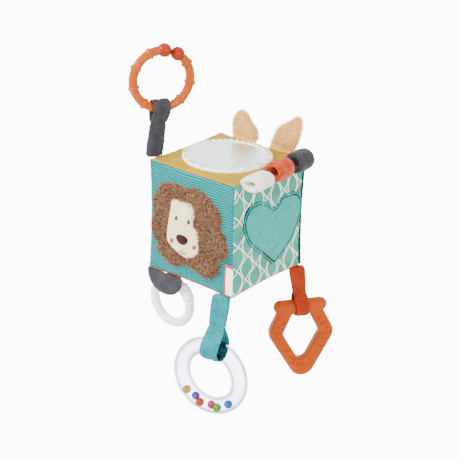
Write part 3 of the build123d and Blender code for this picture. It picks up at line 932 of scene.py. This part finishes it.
mirror_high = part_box("mirror_frame")[1]
mirror_outer = mirror_high[0]
mirror_inner = 32.7 * MM
turn = np.linspace(0, 2 * math.pi, 240, endpoint=False)
share = np.linspace(0, 1, 22)[:, None]
ripple = 0.12 * MM * np.sin(9 * turn + 1.0)[None] + 0.1 * MM * np.sin(23 * turn)[None]
radius = mirror_inner + (mirror_outer - mirror_inner) * share
rise = (mirror_high[2] - 1.9 * MM) + (1.9 * MM + ripple) * np.sqrt(np.clip(1 - (2 * share - 1) ** 6, 0, 1))
rise[0] = mirror_high[2] - 2.2 * MM
rise[-1] = cube_height + 0.1 * MM
points = np.stack([radius * np.cos(turn)[None], radius * np.sin(turn)[None], rise + 0 * radius], axis=-1)
uv = np.stack(
    [np.linspace(0, 1, 241)[None] + 0 * share, share + np.zeros((1, 241))],
    axis=-1,
)


def dashed_satin():
    """White satin whose dashes are drawn in turns round the ring and shares across it."""
    material, tree, shader, place = new_finish("mirror_frame_satin", 0.5, sheen=0.15)
    own = own_uv(tree)
    waver = times(tree, less(tree, noise(tree, place, 5 * MM, 1.0), 0.5), 0.012)
    turns = plus(tree, own.outputs["X"], waver)
    across = own.outputs["Y"]
    spoke = ramp(tree, maths(tree, "PINGPONG", times(tree, turns, 84.0), 1.0), 0.66, 0.5)
    spoke = times(tree, spoke, ramp(tree, maths(tree, "ABSOLUTE", less(tree, across, 0.5)), 0.34, 0.28))
    arc_dash = ramp(tree, maths(tree, "PINGPONG", times(tree, turns, 34.0), 1.0), 0.82, 0.7)
    rows = maths(tree, "ABSOLUTE", less(tree, maths(tree, "ABSOLUTE", less(tree, across, 0.5)), 0.2))
    arcs = times(tree, arc_dash, ramp(tree, rows, 0.13, 0.1))
    half = maths(tree, "GREATER_THAN", maths(tree, "PINGPONG", plus(tree, own.outputs["X"], 0.17), 0.5), 0.27)
    drawn = put(tree, "ShaderNodeMix", {0: half, 2: arcs, 3: spoke}, data_type="FLOAT").outputs[0]
    ground = mixed(tree, noise(tree, place, 1.2 * MM, 2.0), rgba(226, 228, 226), rgba(250, 250, 248))
    paint(tree, shader, drawn, ground, rgba(206, 214, 30))
    bump(tree, shader, noise(tree, place, 1.5 * MM, 2.0), 0.3 * MM, 0.5)
    return material


ring_cloth = surface("mirror_frame_ring", points, uv, wrap=(False, True), weld=True)
ring_cloth.data.materials.append(dashed_satin())
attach(ring_cloth, "cube")
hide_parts("mirror_frame")

silvered, tree, shader, place = new_finish("silvered_plastic", 0.3)
shader.inputs["Metallic"].default_value = 1.0
haze = noise(tree, place, 60 * MM, 2.0)
paint(tree, shader, haze, rgba(224, 228, 230), rgba(250, 252, 252))
bump(tree, shader, noise(tree, place, 40 * MM, 1.0), 0.5 * MM, 0.5)
backing, tree, shader, place = new_finish("backing_wadding", 0.9)
paint(tree, shader, noise(tree, place, 1 * MM), rgba(214, 210, 200), rgba(240, 238, 232))


def refinish(node, material):
    """Give a CAD node that keeps its own shape a new material."""
    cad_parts[node].data.materials.clear()
    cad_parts[node].data.materials.append(material)


for node, material in (("mirror_disc", silvered), ("mirror_backing_pad", backing)):
    refinish(node, material)


# ---- The ears --------------------------------------------------------------------------------------------
# Two flat stuffed ears of long peach plush, sewn into the back seam of the top. Their pile is paler at the
# tips and stands out round the edge.

ear_y = (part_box("ear_left")[0][1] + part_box("ear_left")[1][1]) / 2
ear_half = (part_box("ear_left")[1][1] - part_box("ear_left")[0][1]) / 2
ear_ground = velour("ear_plush", rgba(250, 214, 156), rgba(240, 194, 130), pile=0.8 * MM)
ear_fibre = fibre_material("ear_pile", rgba(251, 202, 124), rgba(254, 234, 184))
ear_corners = {
    "left": [
        (-30.0, 98.5), (-32.4, 110.4), (-31.7, 118.8), (-25.5, 126.5),
        (-18.9, 124.2), (-12.2, 117.5), (-7, 111.8), (-5.8, 98.5),
    ],
    "right": [
        (9.4, 98.5), (12.1, 110.6), (17.9, 121.3), (27.9, 128.4),
        (39, 136), (42, 126.7), (37.1, 109.3), (30, 98.5),
    ],
}


def above_seam(centres, normals):
    """Keep fibres off the ear's root, which turns against the top when the ear bends."""
    return centres[:, 2] > cube_height + 2.6 * MM


for seed, (side, corners) in enumerate(ear_corners.items()):
    outline = smooth_loop(corners, 200)
    outline = outline.mean(0) + (outline - outline.mean(0)) * 0.96
    middle = outline.mean(0)
    phi = np.linspace(-math.pi / 2, math.pi / 2, 42)[:, None, None]
    places = middle + (outline[None] - middle) * np.cos(phi) ** 0.8
    puff = ear_half * np.sin(phi[..., 0]) * np.ones((1, 200))
    dent = 0.9 * MM * np.exp(-(((places[..., 0] - middle[0]) / (5 * MM)) ** 2)) * np.cos(phi[..., 0])
    curve = 0.6 * MM * rumple(places, 18 * MM, 30 + seed)
    tuck = np.clip((cube_height + 4 * MM - places[..., 1]) / (6 * MM), 0, 1)
    ear_out = ear_y + (puff + curve + dent) * (1 - 0.5 * tuck) - 0.3 * MM
    ear_out = ear_out - 2.4 * MM * tuck**2 * (3 - 2 * tuck)
    points = np.stack([places[..., 0], ear_out, places[..., 1]], axis=-1)
    uv = even_uv(42, 201)
    ear = surface(f"ear_{side}_plush", points, uv, wrap=(False, True), weld=True)
    ear.data.materials.append(ear_ground)
    roots, normals = roots_on(ear, 9000, 40 + seed, above_seam)
    hair = pile(f"ear_{side}_pile", roots, normals, 2.4 * MM, 0.3 * MM, 0.9, 0.7, 50 + seed)
    hair.data.materials.append(ear_fibre)
    hair.parent = ear
    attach(ear, f"{side}_ear")
    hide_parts(f"ear_{side}")


# ---- The three tag loops ---------------------------------------------------------------------------------
# Short lengths of thick soft terry, folded double and sewn into the right edge of the top: white, coral
# and grey. Each is carried round its own loop.


def strip(name, path, across, wide, thick, material, groove=0.0, rough=0.25 * MM, seed=3, turns=40):
    """A soft strip carried along a path over the grid (step, turn). Its section is a flat rounded bar, wide
    by thick, with an optional groove along both faces, and it closes to a point at both ends."""
    path = np.array(path, dtype=float)
    across = np.array(across, dtype=float)
    way = np.gradient(path, axis=0)
    way /= np.linalg.norm(way, axis=1, keepdims=True)
    out = np.cross(across, way)
    out /= np.linalg.norm(out, axis=1, keepdims=True)
    turn = np.linspace(0, 2 * math.pi, turns, endpoint=False)
    cos, sin = np.cos(turn), np.sin(turn)
    side = np.sign(cos) * np.abs(cos) ** 0.62
    face = np.sign(sin) * np.abs(sin) ** 0.62
    face = face * (1 - groove * np.exp(-((side / 0.22) ** 2)))
    steps = np.arange(len(path))
    ends = np.minimum(steps, steps[::-1])
    cap = np.where(ends == 0, 0.0, np.where(ends == 1, 0.85, 1.0))
    wide = (np.broadcast_to(wide, len(path)) / 2 * cap)[:, None, None]
    thick = (np.broadcast_to(thick, len(path)) / 2 * cap)[:, None, None]
    points = path[:, None] + across * side[None, :, None] * wide + out[:, None] * face[None, :, None] * thick
    lump = rough * rumple(points, 4.5 * MM, seed) * cap[:, None]
    points = points + out[:, None] * (lump * face[None])[..., None]
    uv = even_uv(len(path), turns + 1)
    made = surface(name, points, uv, wrap=(False, True), weld=True)
    made.data.materials.append(material)
    return made


def even_path(corners, steps):
    """Points evenly spaced along the polyline through the corners, softened three times."""
    corners = np.array(corners, dtype=float)
    along = np.concatenate([[0], np.cumsum(np.linalg.norm(np.diff(corners, axis=0), axis=1))])
    even = np.linspace(0, along[-1], steps)
    path = np.stack([np.interp(even, along, corners[:, k]) for k in range(3)], axis=-1)
    for _ in range(3):
        path[1:-1] = (path[:-2] + 2 * path[1:-1] + path[2:]) / 4
    return path


def terry(name, colour, shade):
    """Looped terry: rounded grains over soft folds. Each grain is darker towards its rim, painted shade
    between the loops, and broad patches are lighter and darker at random.
    """
    material, tree, shader, place = new_finish(name, 0.93, sheen=0.1)
    cells = put(tree, "ShaderNodeTexVoronoi", {"Vector": place, "Scale": 1 / (0.9 * MM)}).outputs["Distance"]
    broad = noise(tree, place, 6 * MM, 2.0)
    # The tone darkens at each grain's rim as painted shade between the loops, plus broad random patches.
    loop_shade_and_tone = plus(tree, times(tree, cells, 0.6), times(tree, broad, 0.5))
    paint(tree, shader, ramp(tree, loop_shade_and_tone, 0.25, 0.85), colour, shade)
    bump(tree, shader, times(tree, cells, -1.0), 0.4 * MM, 0.9)
    return material


terries = {
    "white": terry("white_terry", rgba(252, 250, 244), rgba(214, 208, 196)),
    "coral": terry("coral_terry", rgba(228, 132, 84), rgba(190, 90, 52)),
    "grey": terry("grey_terry", rgba(108, 104, 108), rgba(62, 60, 64)),
}
loop_shapes = {
    "white": (7.4, 0.62, 5.8, 22.0, 10),
    "coral": (7.4, 0.9, 5.0, 20.0, 24),
    "grey": (7.6, 0.95, 4.6, 19.0, 26),
}
for seed, (colour, (reach, squeeze, thick, long, rise)) in enumerate(loop_shapes.items()):
    low, high = (Vector(v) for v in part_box(f"tag_loop_{colour}"))
    middle_y = (low.y + high.y) / 2
    lift = math.radians(rise)
    root = np.array([half_x - 1.6 * MM, middle_y, cube_height - 1.2 * MM])
    outwards = np.array([math.cos(lift), 0, math.sin(lift)])
    upwards = np.array([-math.sin(lift), 0, math.cos(lift)])
    angle = np.linspace(math.radians(138), math.radians(-138), 40)[:, None]
    eye = root + outwards * (reach + 1.6) * MM
    arc = eye + (outwards * np.cos(angle) + upwards * np.sin(angle) * squeeze) * reach * MM
    first, last = root + upwards * 1.0 * MM, root - upwards * 1.0 * MM
    sewn_in = outwards * 2 * MM
    path = even_path(np.concatenate([[first - sewn_in, first], arc, [last, last - sewn_in]]), 72)
    name = f"tag_loop_{colour}_terry"
    loop = strip(name, path, (0, 1, 0), long * MM, thick * MM, terries[colour], seed=seed)
    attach(loop, f"{colour}_loop")
    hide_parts(f"tag_loop_{colour}")


# ---- The hanging straps ----------------------------------------------------------------------------------
# Three doubled tapes of soft velour, sewn into the cube's seams. Each runs to its ring, passes round it
# and comes back down itself, and is stitched across just short of the ring.


def strap_path(azimuth, anchor, root, fold, reach, hole, gap):
    """Up from the anchor on one face, round a circle of the hole's radius at the reach, and back on the
    other face. Sideways it goes from the root's middle to the fold's."""
    turned = math.radians(azimuth)
    level = np.array([math.cos(turned), math.sin(turned), 0])
    facing = np.array([math.sin(turned), -math.cos(turned), 0])
    way = math.copysign(1.0, reach)
    angle = np.linspace(math.radians(-38), math.radians(218), 36)
    rise = np.concatenate([[-2.5 * way, 0, reach - way * hole * 1.75], reach + way * hole * np.sin(angle)])
    rise = np.concatenate([rise, [reach - way * hole * 1.75, 0, -2.5 * way]])
    out = np.concatenate([[gap, gap, gap], hole * np.cos(angle), [-gap, -gap, -gap]])
    share = np.clip(rise / reach, 0, 1)
    aside = (sum(root) * (1 - share) + sum(fold) * share) / 2
    corners = np.array(anchor) + level * aside[:, None] + facing * out[:, None]
    corners = corners + np.array([0, 0, 1]) * rise[:, None]
    path = even_path(corners * MM, 120)
    share = np.clip((path[:, 2] / MM - anchor[2]) / reach, 0, 1)
    wide = ((root[1] - root[0]) * (1 - share) + (fold[1] - fold[0]) * share) * MM
    return path, level, wide, share


def cross_stitch(name, path_point, level, facing, wide, thread_material, count=9):
    """A row of short stitches across a strap, on the face that looks forward."""
    made = []
    for k in range(count):
        share = (k + 0.5) / count - 0.5
        ends = np.linspace(-0.36, 0.36, 5)[:, None] * wide / count + share * wide
        bow = 0.15 * MM * (1 - (np.linspace(-1, 1, 5)[:, None]) ** 2)
        made.append(thread(name, path_point + level * ends + facing * bow, 0.22 * MM, thread_material))
    return joined(name, made)


grey_velour = velour("grey_velour", rgba(116, 112, 118), rgba(62, 60, 66), pile=0.6 * MM)
turquoise_velour = velour("turquoise_velour", rgba(84, 198, 202), rgba(38, 150, 158), pile=0.6 * MM)
coral_tape = velour("coral_tape_velour", rgba(208, 112, 76), rgba(168, 78, 50), pile=0.6 * MM)
strap_thread = {
    "grey_tape": yarn("grey_thread", rgba(70, 66, 72)),
    "turquoise_tape": yarn("turquoise_thread", rgba(150, 226, 226)),
    "coral_tape": yarn("coral_thread", rgba(150, 58, 34)),
}
snap_spot, rattle_spot, teether_spot = (-47.5, -41.0, 104.0), (36.0, -48.1, -0.6), (44.0, 44.0, -2.9)
for node, body, slot, azimuth, anchor, root, fold, reach, hole, groove, stitch_at, material in (
    (
        "hang_strap", "snap_strap", "grey_tape", 60, snap_spot,
        (-6.6, 7.7), (-2.2, 13.0), 40.5, 6.9, 0.6, 0.67, grey_velour,
    ),
    (
        "rattle_strap", "rattle_tape", "turquoise_tape", 10, rattle_spot,
        (-7.6, 8.6), (-13.6, 3.6), -48.5, 10.7, 0.2, 0.58, turquoise_velour,
    ),
    (
        "teether_strap", "teether_tape", "coral_tape", 55, teether_spot,
        (-5.2, 9.2), (1.1, 13.3), -37.1, 8.4, 0.15, 0.66, coral_tape,
    ),
):
    path, level, wide, share = strap_path(azimuth, anchor, root, fold, reach, hole, 1.3)
    pinch = np.exp(-(((share - stitch_at) / 0.035) ** 2))
    narrowing = 0.16 if reach > 0 else 0.07
    thick = 2.5 * MM * (1 - 0.6 * pinch)
    wide = (wide - 0.4 * MM) * (1 - narrowing * pinch) * (1 + 0.04 * np.sin(share * 9))
    make = {"groove": groove, "rough": 0.3 * MM, "seed": len(node), "turns": 96}
    band = strip(f"{node}_velour", path, level, wide, thick, material, **make)
    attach(band, body)
    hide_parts(node)
    facing = np.array([math.sin(math.radians(azimuth)), -math.cos(math.radians(azimuth)), 0])
    place = int(np.argmin(np.abs(share[:60] - stitch_at)))
    row = path[place] + facing * 0.62 * MM
    stitches = cross_stitch(f"{node}_stitches", row, level, facing, float(wide[place]), strap_thread[slot])
    stitches.parent = band
    length = float(np.linalg.norm(np.diff(path, axis=0), axis=1).sum())
    panel = "bottom_cloth" if reach < 0 else "top_cloth"


# ---- The snap ring ---------------------------------------------------------------------------------------
# A translucent orange ring, ribbed like bamboo, whose two ends are balls that stand side by side at the
# top. The strap passes round its foot.

snap_low, snap_high = (Vector(v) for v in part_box("hang_ring"))
snap_across = np.array([0.5, math.sqrt(0.75), 0])
snap_facing = np.array([math.sqrt(0.75), -0.5, 0])
snap_tube, snap_ball = 4.0 * MM, 6.0 * MM
snap_radius = 25.0 * MM
snap_centre = np.array(
    [(snap_low.x + snap_high.x) / 2, (snap_low.y + snap_high.y) / 2, snap_low.z + snap_radius + snap_tube]
)
ball_angle, ball_half = math.radians(71.0), math.radians(14.2)
start = ball_angle + ball_half
sweep = 2 * math.pi - 2 * ball_half
along = np.linspace(0, 1, 420)
bend_angle = start + sweep * along
rib_places = (np.arange(8) + 0.75) / 8.45
ribs = sum(np.exp(-(((along - p) * sweep * snap_radius / (1.25 * MM)) ** 2)) for p in rib_places)
waist = sum(np.exp(-(((along - p) * sweep * snap_radius / (4.5 * MM)) ** 2)) for p in rib_places)
swell = snap_tube * (0.94 + 0.06 * waist) + 1.15 * MM * ribs
swell = np.minimum(swell, 5.1 * MM)
turn = np.linspace(0, 2 * math.pi, 36, endpoint=False)
spoke = np.cos(bend_angle)[:, None] * snap_across + np.sin(bend_angle)[:, None] * np.array([0, 0, 1])
round_tube = np.cos(turn)[None, :, None] * spoke[:, None] + np.sin(turn)[None, :, None] * snap_facing
cap = np.where((along == 0) | (along == 1), 0.0, 1.0)
points = snap_centre + spoke[:, None] * snap_radius + round_tube * (swell * cap)[:, None, None]
uv = np.stack(np.meshgrid(along, np.linspace(0, 1, 37), indexing="ij"), axis=-1)


def clear_plastic(name, colour, roughness, weight):
    """Plastic that light passes through, with faint flow marks."""
    material, tree, shader, place = new_finish(name, roughness)
    shader.inputs["Transmission Weight"].default_value = weight
    shader.inputs["Specular IOR Level"].default_value = 0.15
    shader.inputs["IOR"].default_value = 1.45
    marks = noise(tree, place, 9 * MM, 2.0)
    deeper = tuple(v * 0.86 for v in colour[:3]) + (1.0,)
    paint(tree, shader, ramp(tree, marks, 0.3, 0.7), deeper, colour)
    bump(tree, shader, marks, 0.25 * MM, 0.5)
    return material


orange_plastic = clear_plastic("orange_plastic", rgba(228, 146, 4), 0.14, 0.1)
snap_tube_piece = surface("snap_ring_tube", points, uv, wrap=(False, True), weld=True)
snap_tube_piece.data.materials.append(orange_plastic)
ball_plastic = clear_plastic("orange_ball", rgba(214, 112, 4), 0.14, 0.05)
balls = []
lat = np.linspace(-math.pi / 2, math.pi / 2, 33)[:, None]
turn = np.linspace(0, 2 * math.pi, 48, endpoint=False)[None]
for side in (-1, 1):
    angle = ball_angle + side * ball_half
    middle = snap_centre + (np.cos(angle) * snap_across + np.sin(angle) * np.array([0, 0, 1])) * snap_radius
    reach = snap_ball * (1 + 0.02 * np.cos(2 * turn) * np.cos(lat))
    level = reach * np.cos(lat)
    ball = np.stack([level * np.cos(turn), level * np.sin(turn), reach * np.sin(lat)], axis=-1)
    ball_uv = even_uv(33, 49)
    made = surface("snap_ball", middle + ball, ball_uv, wrap=(False, True), weld=True)
    made.data.materials.append(ball_plastic)
    balls.append(made)
snap_balls = joined("snap_ring_balls", balls)
snap_balls.parent = snap_tube_piece
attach(snap_tube_piece, "snap_ring")
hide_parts("hang_ring")


# ---- The rattle ring -------------------------------------------------------------------------------------
# A clear hollow ring of two shells, joined round its middle, with six coloured beads that run in it. The
# shells and the beads keep their own exact shapes.

clear_shell, tree, shader, place = new_finish("clear_shell", 0.04)
shader.inputs["Transmission Weight"].default_value = 1.0
shader.inputs["IOR"].default_value = 1.12
facing = put(tree, "ShaderNodeLayerWeight", {"Blend": 0.45}).outputs["Facing"]
marks = noise(tree, place, 14 * MM, 2.0)
edge = ramp(tree, plus(tree, facing, times(tree, marks, 0.08)), 0.14, 0.62)
paint(tree, shader, edge, (0.72, 0.71, 0.77, 1), (0.3, 0.28, 0.38, 1))
for node in ("rattle_ring_front_shell", "rattle_ring_rear_shell"):
    refinish(node, clear_shell)
for colour, seen in (
    ("yellow", (255, 238, 84)),
    ("purple", (172, 138, 226)),
    ("orange", (255, 160, 70)),
    ("pink", (252, 116, 180)),
    ("green", (170, 240, 104)),
    ("blue", (92, 196, 250)),
):
    gloss, tree, shader, place = new_finish(f"bead_{colour}_gloss", 0.15)
    shade = tuple(v * 0.92 for v in seen)
    paint(tree, shader, noise(tree, place, 2.5 * MM), rgba(*shade), rgba(*seen))
    refinish(f"bead_{colour}", gloss)


# ---- The teether -----------------------------------------------------------------------------------------
# A soft orange rubber drop with a bar at the top, in the exact body's shape. Round bumps go round both its
# faces, one and then two abreast.

rubber, tree, shader, place = new_finish("orange_rubber", 0.5)
shader.inputs["Specular IOR Level"].default_value = 0.1
mottle = noise(tree, place, 5 * MM, 3.0)
paint(tree, shader, mottle, rgba(212, 124, 10), rgba(222, 136, 14))
bump(tree, shader, noise(tree, place, 0.8 * MM, 2.0), 0.05 * MM, 0.5)
refinish("teether", rubber)

teether_across = np.array([math.cos(math.radians(55)), math.sin(math.radians(55)), 0])
teether_facing = np.array([math.sin(math.radians(55)), -math.cos(math.radians(55)), 0])
teether_spot = np.array([44.0, 44.0, 0]) * MM
outer_walk = [
    (-13.0, -52), (-19.5, -62), (-19.0, -71), (-9.0, -87), (0.5, -99), (10.5, -106.5),
    (19.5, -101), (29, -85), (36.0, -71), (36.5, -61), (28.0, -50),
]
inner_walk = [
    (-4.8, -56.5), (-10.4, -64), (-8.8, -73), (-1.0, -84), (3.5, -92), (10.2, -94.2),
    (16.0, -91), (21.5, -81), (27.0, -71), (27.5, -63), (20.5, -54.5),
]
bumps = []
lat = np.linspace(0, math.pi / 2, 9)[:, None]
turn = np.linspace(0, 2 * math.pi, 20, endpoint=False)[None]
stations = np.linspace(0, len(outer_walk) - 1, 19)
walks = [
    np.stack([np.interp(stations, range(len(walk)), np.array(walk)[:, k]) for k in (0, 1)], axis=-1)
    for walk in (outer_walk, inner_walk)
]
for number, (outer, inner) in enumerate(zip(*walks)):
    for share in ((0.27, 0.73) if number % 2 else (0.5,)):
        x, z = outer + (inner - outer) * share
        radius = (1.45 if number % 2 else 1.75) * MM
        for way in (-1, 1):
            middle = teether_spot + teether_across * x * MM + np.array([0, 0, z * MM])
            middle = middle + teether_facing * way * 5.0 * MM
            dome = (
                teether_across * (radius * np.cos(lat) * np.cos(turn))[..., None]
                + np.array([0, 0, 1]) * (radius * np.cos(lat) * np.sin(turn))[..., None]
                + teether_facing * way * (1.75 * MM * np.sin(lat) ** 0.8 + 0 * turn)[..., None]
            )
            dome_uv = even_uv(9, 21)
            bumps.append(surface("teether_bump", middle + dome, dome_uv, wrap=(False, True), weld=True))
teether_bumps = joined("teether_bumps", bumps)
teether_bumps.data.materials.append(rubber)
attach(teether_bumps, "drop_teether")


# ---- The grey pad and the teething ring ------------------------------------------------------------------
# A half-round grey velour pad hangs from the front's lower seam. Behind it a grey tape holds a milky
# silicone ring with a frill of small teeth on its side.

pad_low, pad_high = (Vector(v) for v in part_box("grey_pad"))
pad_middle = ((pad_low.x + pad_high.x) / 2, (pad_low.y + pad_high.y) / 2)
pad_wide, pad_tall = (pad_high.x - pad_low.x) / 2 - 0.3 * MM, pad_high.z - pad_low.z - 0.5 * MM
edge = np.linspace(0, math.pi, 120)
outline = np.stack([pad_wide * np.cos(edge), -pad_tall * np.sin(edge) ** 0.85], axis=-1)
top_edge = np.stack([np.linspace(-pad_wide, pad_wide, 60)[1:-1], np.full(58, 0.6 * MM)], axis=-1)
outline = np.concatenate([outline, top_edge]) + np.array([pad_middle[0], pad_high.z])
middle = np.array([pad_middle[0], pad_high.z - 0.42 * pad_tall])
phi = np.linspace(-math.pi / 2, math.pi / 2, 46)[:, None, None]
places = middle + (outline[None] - middle) * np.cos(phi) ** 0.5
thick = 2.3 * MM * np.sin(phi[..., 0]) * np.ones((1, len(outline)))
rib = np.abs(np.sin((places[..., 0] - middle[0]) / (4.2 * MM)))
lines = 0.35 * MM * np.exp(-((rib / 0.16) ** 2)) * np.cos(phi[..., 0])
thick = thick - lines * np.sign(thick)
points = np.stack([places[..., 0], pad_middle[1] + thick, places[..., 1]], axis=-1)
uv = even_uv(46, len(outline) + 1)
pad = surface("grey_pad_velour", points, uv, wrap=(False, True), weld=True)
pad.data.materials.append(grey_velour)
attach(pad, "pad")
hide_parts("grey_pad")

holder_low, holder_high = (Vector(v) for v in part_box("ring_tape"))
angle = np.linspace(math.radians(128), math.radians(-196), 60)
holder_radius = 5.75 * MM
holder_z = holder_low.z + 6.1 * MM
ring_y = holder_high.y - 6.1 * MM
holder_x = 0 * angle + (holder_low.x + holder_high.x) / 2
arc = np.stack(
    [holder_x, ring_y + holder_radius * np.cos(angle), holder_z + holder_radius * np.sin(angle)], axis=-1
)
path = even_path(np.concatenate([arc, [[arc[-1][0], pad_middle[1] + 1.0 * MM, pad_high.z - 4.0 * MM]]]), 70)
holder = strip("ring_tape_velour", path, (1, 0, 0), 9.4 * MM, 1.0 * MM, grey_velour, rough=0.08 * MM)
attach(holder, "pad")
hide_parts("ring_tape")
length = float(np.linalg.norm(np.diff(path, axis=0), axis=1).sum())

silicone, tree, shader, place = new_finish("milky_silicone", 0.38)
shader.inputs["Subsurface Weight"].default_value = 0.35
shader.inputs["Subsurface Radius"].default_value = (0.004, 0.004, 0.004)
mottle = noise(tree, place, 6 * MM, 2.0)
paint(tree, shader, mottle, rgba(226, 224, 218), rgba(246, 244, 240))
bump(tree, shader, noise(tree, place, 0.7 * MM, 2.0), 0.04 * MM, 0.4)
refinish("teething_ring", silicone)


# ---- The label -------------------------------------------------------------------------------------------
# A small folded woven tag in the front right seam, white with an orange-red border on two sides. Its
# lettering is left out.

label_low, label_high = (Vector(v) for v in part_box("label_tag"))
rows, columns = 60, 20
across_share, up_share = np.meshgrid(np.linspace(0, 1, columns), np.linspace(0, 1, rows), indexing="ij")
x = label_high.x + (label_low.x - label_high.x) * across_share
z = label_low.z + (label_high.z - label_low.z) * up_share
y = (label_low.y + label_high.y) / 2 - 0.5 * MM * across_share * np.sin(3.4 * up_share + 0.5)
tag_points = np.stack([x, y, z], axis=-1)


def woven_label():
    """White satin weave with an orange-red edge along its top and its outer side."""
    material, tree, shader, place = new_finish("woven_label", 0.55, sheen=0.1)
    own = own_uv(tree)
    weave = noise(tree, place, 0.3 * MM, 1.0)
    outer = ramp(tree, own.outputs["X"], 0.8, 0.84)
    top = ramp(tree, own.outputs["Y"], 0.9, 0.92)
    border = maths(tree, "MAXIMUM", outer, top)
    white = mixed(tree, weave, rgba(232, 228, 220), rgba(255, 252, 246))
    paint(tree, shader, border, white, rgba(222, 108, 50))
    bump(tree, shader, weave, 0.08 * MM, 0.6)
    return material


tag = surface("label_weave", tag_points, np.stack([across_share, up_share], axis=-1))
tag.data.materials.append(woven_label())
thicken(tag, 0.6 * MM)
tag.modifiers["thickness"].offset = 0.0
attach(tag, "label")
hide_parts("label_tag")


# ---- The seams -------------------------------------------------------------------------------------------
# The cut edges turned inwards show as narrow lips along the cube's edges: coral along the bottom, and a
# dark green lip up the right back edge, the green print painted in shade where it turns into the seam,
# with coral beyond it.


def seam_line(name, start, end, radius, material, inwards, sag=0.0, rough=0.12 * MM, seed=1):
    """A soft rolled lip from one corner to another, drawn in towards the middle along its length."""
    start, end, inwards = (np.array(v, dtype=float) for v in (start, end, inwards))
    t = np.linspace(0, 1, 150)[:, None]
    path = start + (end - start) * t + inwards * (sag * 4 * t * (1 - t))
    path = path + rough * np.stack([rumple(path, 5 * MM, seed + k) for k in range(3)], axis=-1)
    return thread(name, path, radius, material)


corner_in = corner_round * (1 - 1 / math.sqrt(3)) + 0.2 * MM
edge_in = (corner_round + seam_round) * (1 - 1 / math.sqrt(2)) - corner_round * (1 - 1 / math.sqrt(3))
coral_lip = velour("coral_lip", rgba(222, 124, 66), rgba(200, 94, 46))
# The green lip is the green print's colour darkened: painted shade in the turn of the seam.
green_lip_in_shade = velour("green_lip_in_shade", rgba(44, 122, 112), rgba(20, 84, 80))
a, b, low_z, high_z = half_x - corner_in, half_y - corner_in, corner_in, cube_height - corner_in
lip = 0.95 * MM
front_left, front_right, back_right = (-a, -b, low_z), (a, -b, low_z), (a, b, low_z)
beyond = (a + 0.2 * MM, b + 1.6 * MM)
edge = (a + 0.7 * MM, b)
lips = [
    seam_line("bottom_front_lip", front_left, front_right, lip, coral_lip, (0, 1, 1), edge_in, seed=2),
    seam_line("bottom_right_lip", front_right, back_right, lip, coral_lip, (-1, 0, 1), edge_in, seed=3),
    seam_line(
        "back_right_coral",
        (*beyond, low_z),
        (*beyond, high_z),
        1.1 * MM,
        coral_lip,
        (-1, -1, 0),
        edge_in,
        seed=4,
    ),
]
lips = joined("coral_seam_lips", lips)
lips.parent = bpy.data.objects["bottom_cloth"]
# The dark green lip is painted shade where the green print turns into the seam.
green_seam_shade = seam_line(
    "back_right_green_shade", (*edge, low_z), (*edge, high_z), 1.4 * MM, green_lip_in_shade, (-1, -1, 0), edge_in, seed=6
)
green_seam_shade.parent = bpy.data.objects["right_cloth"]


# ---- What lies inside the cube ---------------------------------------------------------------------------
# The crinkle foil, the squeaker and the rattle capsule with its pellets keep their exact shapes, and only
# take a finish.

for node, name, colour, roughness in (
    ("crinkle_foil", "crinkle_film", (212, 216, 220), 0.3),
    ("rattle_capsule_lower", "capsule_shell", (228, 226, 218), 0.35),
    ("rattle_capsule_upper", "capsule_lid", (234, 232, 226), 0.35),
    ("rattle_pellets", "pellet_plastic", (200, 90, 70), 0.3),
    ("squeaker_bellows", "squeaker_rubber", (236, 232, 222), 0.5),
    ("squeaker_base", "squeaker_cap", (220, 216, 206), 0.45),
):
    material, tree, shader, place = new_finish(name, roughness)
    shade = tuple(v * 0.88 for v in colour)
    paint(tree, shader, noise(tree, place, 3 * MM), rgba(*shade), rgba(*colour))
    refinish(node, material)
